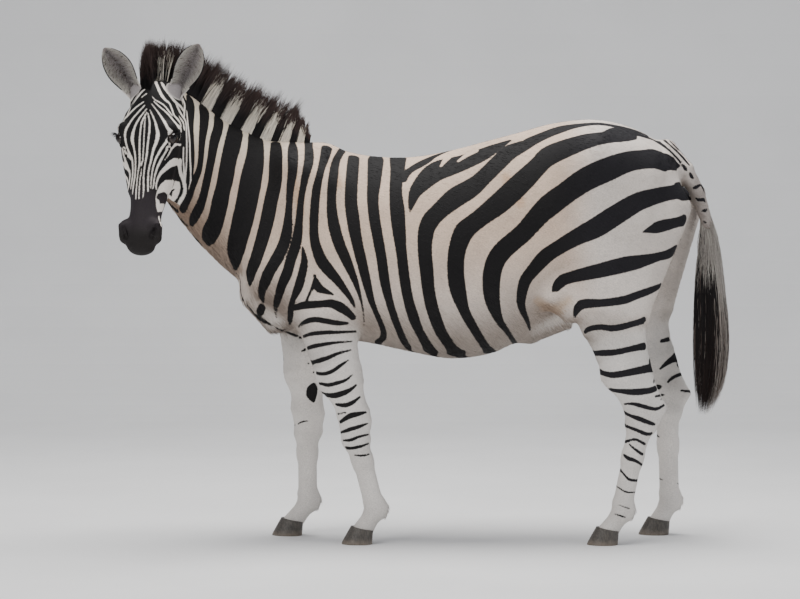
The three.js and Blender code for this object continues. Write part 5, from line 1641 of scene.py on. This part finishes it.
ALL_ROUND, AT_THE_BACK = (0, 2 * math.pi), (-1.0, 1.0)
switch = switch_hair("tail_switch", 5600, 21, (800, 1040), (400, 640), ALL_ROUND, switch_tones, 1.15)
fringe = switch_hair("tail_fringe", 2600, 22, (890, 1090), (640, 860), AT_THE_BACK, fringe_tones, 0.95)
dock_hair = switch_hair("dock_hair", 1600, 23, (860, 1020), (780, 900), ALL_ROUND, fringe_tones, 0.9)
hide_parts("tail_tuft")
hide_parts("tail_tuft")
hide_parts("tail_tuft")

# ---- Hooves ----------------------------------------------------------------------------------------
# Each hoof is one box of dark horn, ringed by its growth, worn flat beneath and narrower at the crown,
# where the hair of the pastern hangs over it.
HOOF_TOE, HOOF_SIDE, CROWN_TOE, CROWN_SIDE = 56, 43, 40, 35
HOOF_SLOPE = 0.2  # how much the crown falls for each step back towards the heel
HEEL = 0.82  # the heel's reach as a share of the toe's
CLEFT_DEEP, CLEFT_HALF = 0.16, 0.22  # the dip between the bulbs of the heel: share, and angle
WALL_LEVELS = 22


def horn_material():
    """Grey-brown horn: fine upright fibres, level growth rings, and dust towards the ground."""
    n = Nodes("hoof_horn")
    fibre = n.noise(420, 3.0, (1, 1, 0.12))
    rings = n.noise(60, 2.0, (0.3, 0.3, 3.2))
    tone = n.mix_colour(n.ramp(fibre, 0.3, 0.75), (0.038, 0.033, 0.029), (0.10, 0.088, 0.074))
    height = n.add("SeparateXYZ", None, Vector=n.add("TexCoord").outputs["Object"]).outputs[2]
    dust = n.ramp(n.math("ADD", height, n.math("MULTIPLY", n.noise(90, 3.0), 0.02)), 0.006, 0.034, 0.65, 0.0)
    colour = n.mix_colour(dust, tone, (0.24, 0.195, 0.15))
    bump = n.add("Bump", None, Strength=0.5, Distance=0.0015, Height=n.math("ADD", rings, fibre)).outputs[0]
    return n.finish(Base_Color=colour, Roughness=0.5, Normal=bump)


horn_finish = horn_material()


def hoof_points(x0, y0, wide_share, turns):
    """Rings from the middle of the sole, out to its edge, up the raked wall and over onto the crown."""
    t = np.r_[0, 0, 0.03, np.linspace(0.09, 1, WALL_LEVELS), 1.0, 1.0]
    share = np.r_[0.002, 0.955, 0.985, np.ones(WALL_LEVELS), 0.9, 0.002]
    a = np.linspace(0, 2 * math.pi, turns, endpoint=False)
    tt, aa = np.meshgrid(t, a, indexing="ij")
    rings = share[:, None] * (1 + 0.006 * np.sin(tt * 40) * (tt > 0.05) * (tt < 1))
    toe = mix(HOOF_TOE, CROWN_TOE, tt) * rings
    wide = mix(HOOF_SIDE, CROWN_SIDE, tt) * wide_share * rings
    from_heel = aa - math.pi * 2 * (aa > math.pi)
    cleft = 1 - CLEFT_DEEP * np.exp(-(from_heel / CLEFT_HALF) ** 2) * (tt > 0.02)
    ahead = np.cos(aa)
    behind = HEEL * cleft * np.maximum(ahead, 0) ** 0.8
    dx = toe * np.where(ahead > 0, behind, ahead)
    z = tt * (HOOF_HEIGHT - HOOF_SLOPE * dx)
    return np.stack([x0 + HOOF_RAKE * tt + dx, y0 + wide * np.sin(aa), z], -1)


HIND_HOOF = 0.94  # a hind hoof's width as a share of a fore hoof's
for pair, joints, out, wide_share in (("fore", FORE, FORE_OUT, 1.0), ("hind", HIND, HIND_OUT, HIND_HOOF)):
    for side, name in ((LEFT, "left"), (RIGHT, "right")):
        rings = hoof_points(joints[side]["hoof"], side * out, wide_share, 48)
        hoof = make_mesh(f"hoof_{pair}_{name}", *capped(rings))
        hoof.data.materials.append(horn_finish)
        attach(hoof, "root")
        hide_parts(f"{pair}hoof_{name}")

# ---- Coat ------------------------------------------------------------------------------------------
# Short hair over the whole skin, in thin overlapping tufts that lie down and backwards. It is longest
# under the throat, on the breast, along the belly and behind the legs, and shortest on face and feet.
NECK_ENDS, HAUNCH_STARTS, LEG_TOP = -330, 420, 620  # where one coat piece gives way to the next
BODY_HAIR, LEG_HAIR = 15.0, 7.5
ROOTED = 0.9  # how deep a tuft is rooted under the skin


def lie_of_coat(points, normals, head):
    """Which way the hair runs: back and down on the body, down on the legs, and down the face."""
    s = unbend(points)[:, 0]
    phi = np.clip((BEND_START - s) / BEND_RADIUS, 0, BEND_ANGLE)
    back = np.stack([np.cos(phi), np.sin(phi), np.zeros(len(s))], -1)
    falling = mix(0.55, 2.0, 1 - smoothstep(points[:, 2], 560, 820))
    falling = np.maximum(falling, 1.1 * (1 - smoothstep(s, -560, -300)))
    on_body = back - np.array([0, 0, 1.0]) * falling[:, None]
    down_face = HEAD_DOWN - 0.25 * HEAD_FRONT
    lie = mix(unit(on_body), down_face, head[:, None])
    lie = lie - normals * (lie * normals).sum(1)[:, None]
    return unit(lie)


def coat_length(points, normals, head):
    """How long the hair is at each point, in millimetres, and the slope at which it stands out."""
    s, _, z = unbend(points).T
    down = head_place(points)[:, 0]
    length = np.full(len(points), BODY_HAIR)
    under = smoothstep(-normals[:, 2], 0.1, 0.8)
    length = length + 9 * under * smoothstep(z, 500, 620) * (1 - head)
    throat = smoothstep(-s, 330, 460) * smoothstep(-normals[:, 2], -0.1, 0.5) * (1 - head)
    breast = np.exp(-(((s + 430) / 70) ** 2) - ((z - 760) / 90) ** 2)
    length = length + 8 * throat + 5 * breast
    low = 1 - smoothstep(z, 300, 640)
    length = mix(length, LEG_HAIR, low * (1 - head))
    rear = smoothstep(normals[:, 0], 0.5, 0.95)
    fetlock = np.exp(-(((z - 105) / 34) ** 2)) * rear
    length = length + 14 * fetlock + 5 * rear * smoothstep(z, 420, 560) * (1 - smoothstep(z, 700, 800))
    face = mix(6.5, 3.6, smoothstep(down, 60, 420))
    jaw = smoothstep(-(normals @ HEAD_FRONT), 0.3, 0.9)
    length = mix(length, face + 3.5 * jaw, head)
    stands = 0.14 + 0.10 * under + 0.10 * throat + 0.08 * breast + 0.14 * fetlock + 0.06 * head
    return length, stands


def flat_map(points, head):
    """Each root's place on an unwrap of the skin: the body, the head and the four legs side by side.

    The body and head are unrolled about their middle lines, and each leg about its own axis.
    """
    s, n, z = unbend(points).T
    top, bottom, _, _ = BARREL_CURVE(np.clip(s, BARREL[0][0], BARREL[-1][0])).T
    around = np.arctan2(n, z - (top + bottom) / 2) / (2 * math.pi) + 0.5
    body = np.stack([0.02 + 0.60 * np.clip((s + 960) / 2000, 0, 1), 0.02 + 0.96 * around], -1)
    down, out, front = head_place(points).T
    turn = np.arctan2(out, front + 20) / (2 * math.pi) + 0.5
    on_skull = np.stack([0.66 + 0.30 * np.clip((down + 70) / 600, 0, 1), 0.02 + 0.44 * turn], -1)
    flat = np.where(head[:, None] > 0.5, on_skull, body)
    all_four = [(joints[side], side, out) for joints, out in ((FORE, FORE_OUT), (HIND, HIND_OUT))
                for side in (LEFT, RIGHT)]
    for i, (leg, side, out) in enumerate(all_four):
        own = (z < LEG_TOP) & (n * side > 0) & ((s < FORE_ENDS) == (i < 2)) & (head < 0.5)
        turn = np.arctan2(np.abs(n) - out, s - leg_axis(leg, z)) / (2 * math.pi) + 0.5
        low_left = np.array([0.66 + 0.08 * i, 0.52])
        on_leg = low_left + np.stack([0.065 * turn, 0.46 * z / LEG_TOP], -1)
        flat = np.where(own[:, None], on_leg, flat)
    return flat


def tufts(name, chosen, count, width, seed):
    """A piece of coat, rooted evenly over the chosen triangles: roots a + r1 (b - a) + r2 (c - a).

    Its half width is for hair as long as the body's, and shorter hair is narrower by the square root.
    """
    rng = np.random.default_rng(seed)
    a, b, c = (skin_points[skin_faces[chosen][:, i]] for i in range(3))
    area = np.linalg.norm(np.cross(b - a, c - a), axis=1)
    pick = rng.choice(len(area), count, p=area / area.sum())
    r = rng.random((count, 2))
    r = np.where((r.sum(1) > 1)[:, None], 1 - r, r)
    roots = a[pick] + (b - a)[pick] * r[:, :1] + (c - a)[pick] * r[:, 1:]
    mark, head, normals = marks_on(roots)
    length, stands = coat_length(roots, normals, head)
    length = length * rng.uniform(0.75, 1.2, count)
    lie = unit(lie_of_coat(roots, normals, head) + rng.normal(0, 0.09, (count, 3)))
    lie = unit(lie - normals * (lie * normals).sum(1)[:, None])
    stands = stands * rng.uniform(0.6, 1.4, count)
    stands = stands[:, None]
    heads = unit(lie + normals * stands)
    paths = hair_paths(roots - normals * ROOTED, heads, length, normals * -0.6 * stands, levels=3)
    tips = paths[:, -1] - normals * ((paths[:, -1] - roots) * normals).sum(1)[:, None]
    mark = np.stack([mark, mark_of((roots + tips) / 2, normals)[0], mark_of(tips, normals)[0]], 1)
    pale, dark = coat_colours(roots, normals, head)
    shade = rng.uniform(0.90, 1.09, count)[:, None]
    pale, dark = pale * shade, dark * rng.uniform(0.85, 1.3, count)[:, None]
    widths = width * np.sqrt(length / BODY_HAIR)[:, None] * np.array([1.0, 0.85, 0.0])
    colours = (mark, pale[:, None], dark[:, None])
    hair(name, paths, widths, normals, flat_map(roots, head), colours, coat_finish, flatness=0.22)


middles = skin_points[skin_faces].mean(1)
along_body, offset, height = unbend(middles).T
of_head = skin_head[skin_faces].mean(1) > 0.5
bare = (from_eyes(middles) <= 26) | (head_place(middles)[:, 0] > 440)  # round the eyes, and the lips
of_legs = (height < LEG_TOP) & ~of_head
of_body = ~of_legs & ~of_head
clear_of_hooves = height >= HOOF_HEIGHT + 4
tufts("coat_head", of_head & ~bare, 15000, 1.1, seed=31)
seed = 32
for part, starts, ends, count in (("neck", -np.inf, NECK_ENDS, 7000),
                                  ("trunk", NECK_ENDS, HAUNCH_STARTS, 13000),
                                  ("haunch", HAUNCH_STARTS, np.inf, 9000)):
    chosen = of_body & (along_body >= starts) & (along_body < ends)
    for name, half in (("left", offset < 0), ("right", offset >= 0)):
        tufts(f"coat_{part}_{name}", chosen & half, count, 1.7, seed)
        seed += 1
fore = along_body < FORE_ENDS
tufts("coat_forelegs", of_legs & clear_of_hooves & fore, 9000, 1.3, seed=38)
tufts("coat_hindlegs", of_legs & clear_of_hooves & ~fore, 9000, 1.3, seed=39)

# ---- Floor -----------------------------------------------------------------------------------------
# A plain pale studio floor that runs back into a soft wall, so that no horizon line shows.
FLOOR_REACH = 9.0  # metres, as all of the studio is
WALL_TURN, WALL_FROM, WALL_TOP = 2.5, 4.0, 8.0


def sweep_floor():
    """A profile flat along y, then a quarter turn up into a wall, carried along x."""
    a = np.linspace(0, math.pi / 2, 24)
    y = np.r_[-FLOOR_REACH * 2, WALL_FROM + WALL_TURN * np.sin(a), WALL_FROM + WALL_TURN]
    z = np.r_[0, WALL_TURN * (1 - np.cos(a)), WALL_TOP]
    x = np.array([-FLOOR_REACH, FLOOR_REACH])
    points = np.stack([np.repeat(x, len(y)), np.tile(y, 2), np.tile(z, 2)], -1)
    i = np.arange(len(y) - 1)
    faces = np.stack([i, i + len(y), i + len(y) + 1, i + 1], 1)
    mesh = bpy.data.meshes.new("floor")
    mesh.from_pydata(points.tolist(), [], faces.tolist())
    made = bpy.data.objects.new("floor", mesh)
    bpy.context.scene.collection.objects.link(made)
    return made


def floor_material():
    """Pale matt paper. It is clear from its far side, so that the wall hides nothing from behind."""
    n = Nodes("studio_floor")
    tone = n.ramp(n.noise(1.5, 4.0), 0.3, 0.7, 0.79, 0.83)
    grey = n.add("CombineColor", None, Red=tone, Green=tone, Blue=tone).outputs[0]
    facing = n.math("SUBTRACT", 1.0, n.add("NewGeometry").outputs["Backfacing"])
    return n.finish(Base_Color=grey, Roughness=0.9, Alpha=facing)


floor = sweep_floor()
floor.data.materials.append(floor_material())

# ---- Lights ----------------------------------------------------------------------------------------
# Soft daylight from large panels: a broad one overhead, one to the front and left, and a weak fill.


def aimed(name, data, at, aim):
    """A light or camera at a place, turned to look at its aim."""
    made = bpy.data.objects.new(name, data)
    made.location = at
    made.rotation_euler = (Vector(aim) - Vector(at)).to_track_quat("-Z", "Y").to_euler()
    bpy.context.scene.collection.objects.link(made)
    return made


def panel(name, at, aim, size, power, colour):
    light = bpy.data.lights.new(name, "AREA")
    light.shape, light.size, light.energy, light.color = "DISK", size, power, colour
    aimed(name, light, at, aim)


panel("overhead", (0.2, 0.2, 5.0), (0, 0, 0.8), 3.4, 330, (1.0, 0.985, 0.96))
panel("front", (-3.6, -5.0, 3.0), (0, 0, 0.9), 2.8, 135, (1.0, 0.98, 0.95))
panel("fill", (4.5, -3.2, 1.6), (0, 0, 0.8), 2.6, 45, (0.95, 0.97, 1.0))
world = bpy.data.worlds.new("studio")
world.use_nodes = True
sky = world.node_tree.nodes["Background"]
sky.inputs["Color"].default_value = (0.9, 0.93, 1.0, 1)
sky.inputs["Strength"].default_value = 0.42
bpy.context.scene.world = world

# ---- Camera ----------------------------------------------------------------------------------------
# A long lens at the height of the withers, square to the animal's left side.
lens = bpy.data.cameras.new("camera")
lens.angle = PLAN_ANGLE
lens.clip_end = 60
bpy.context.scene.camera = aimed("camera", lens, place(PLAN_VIEW), place(PLAN_AIM))
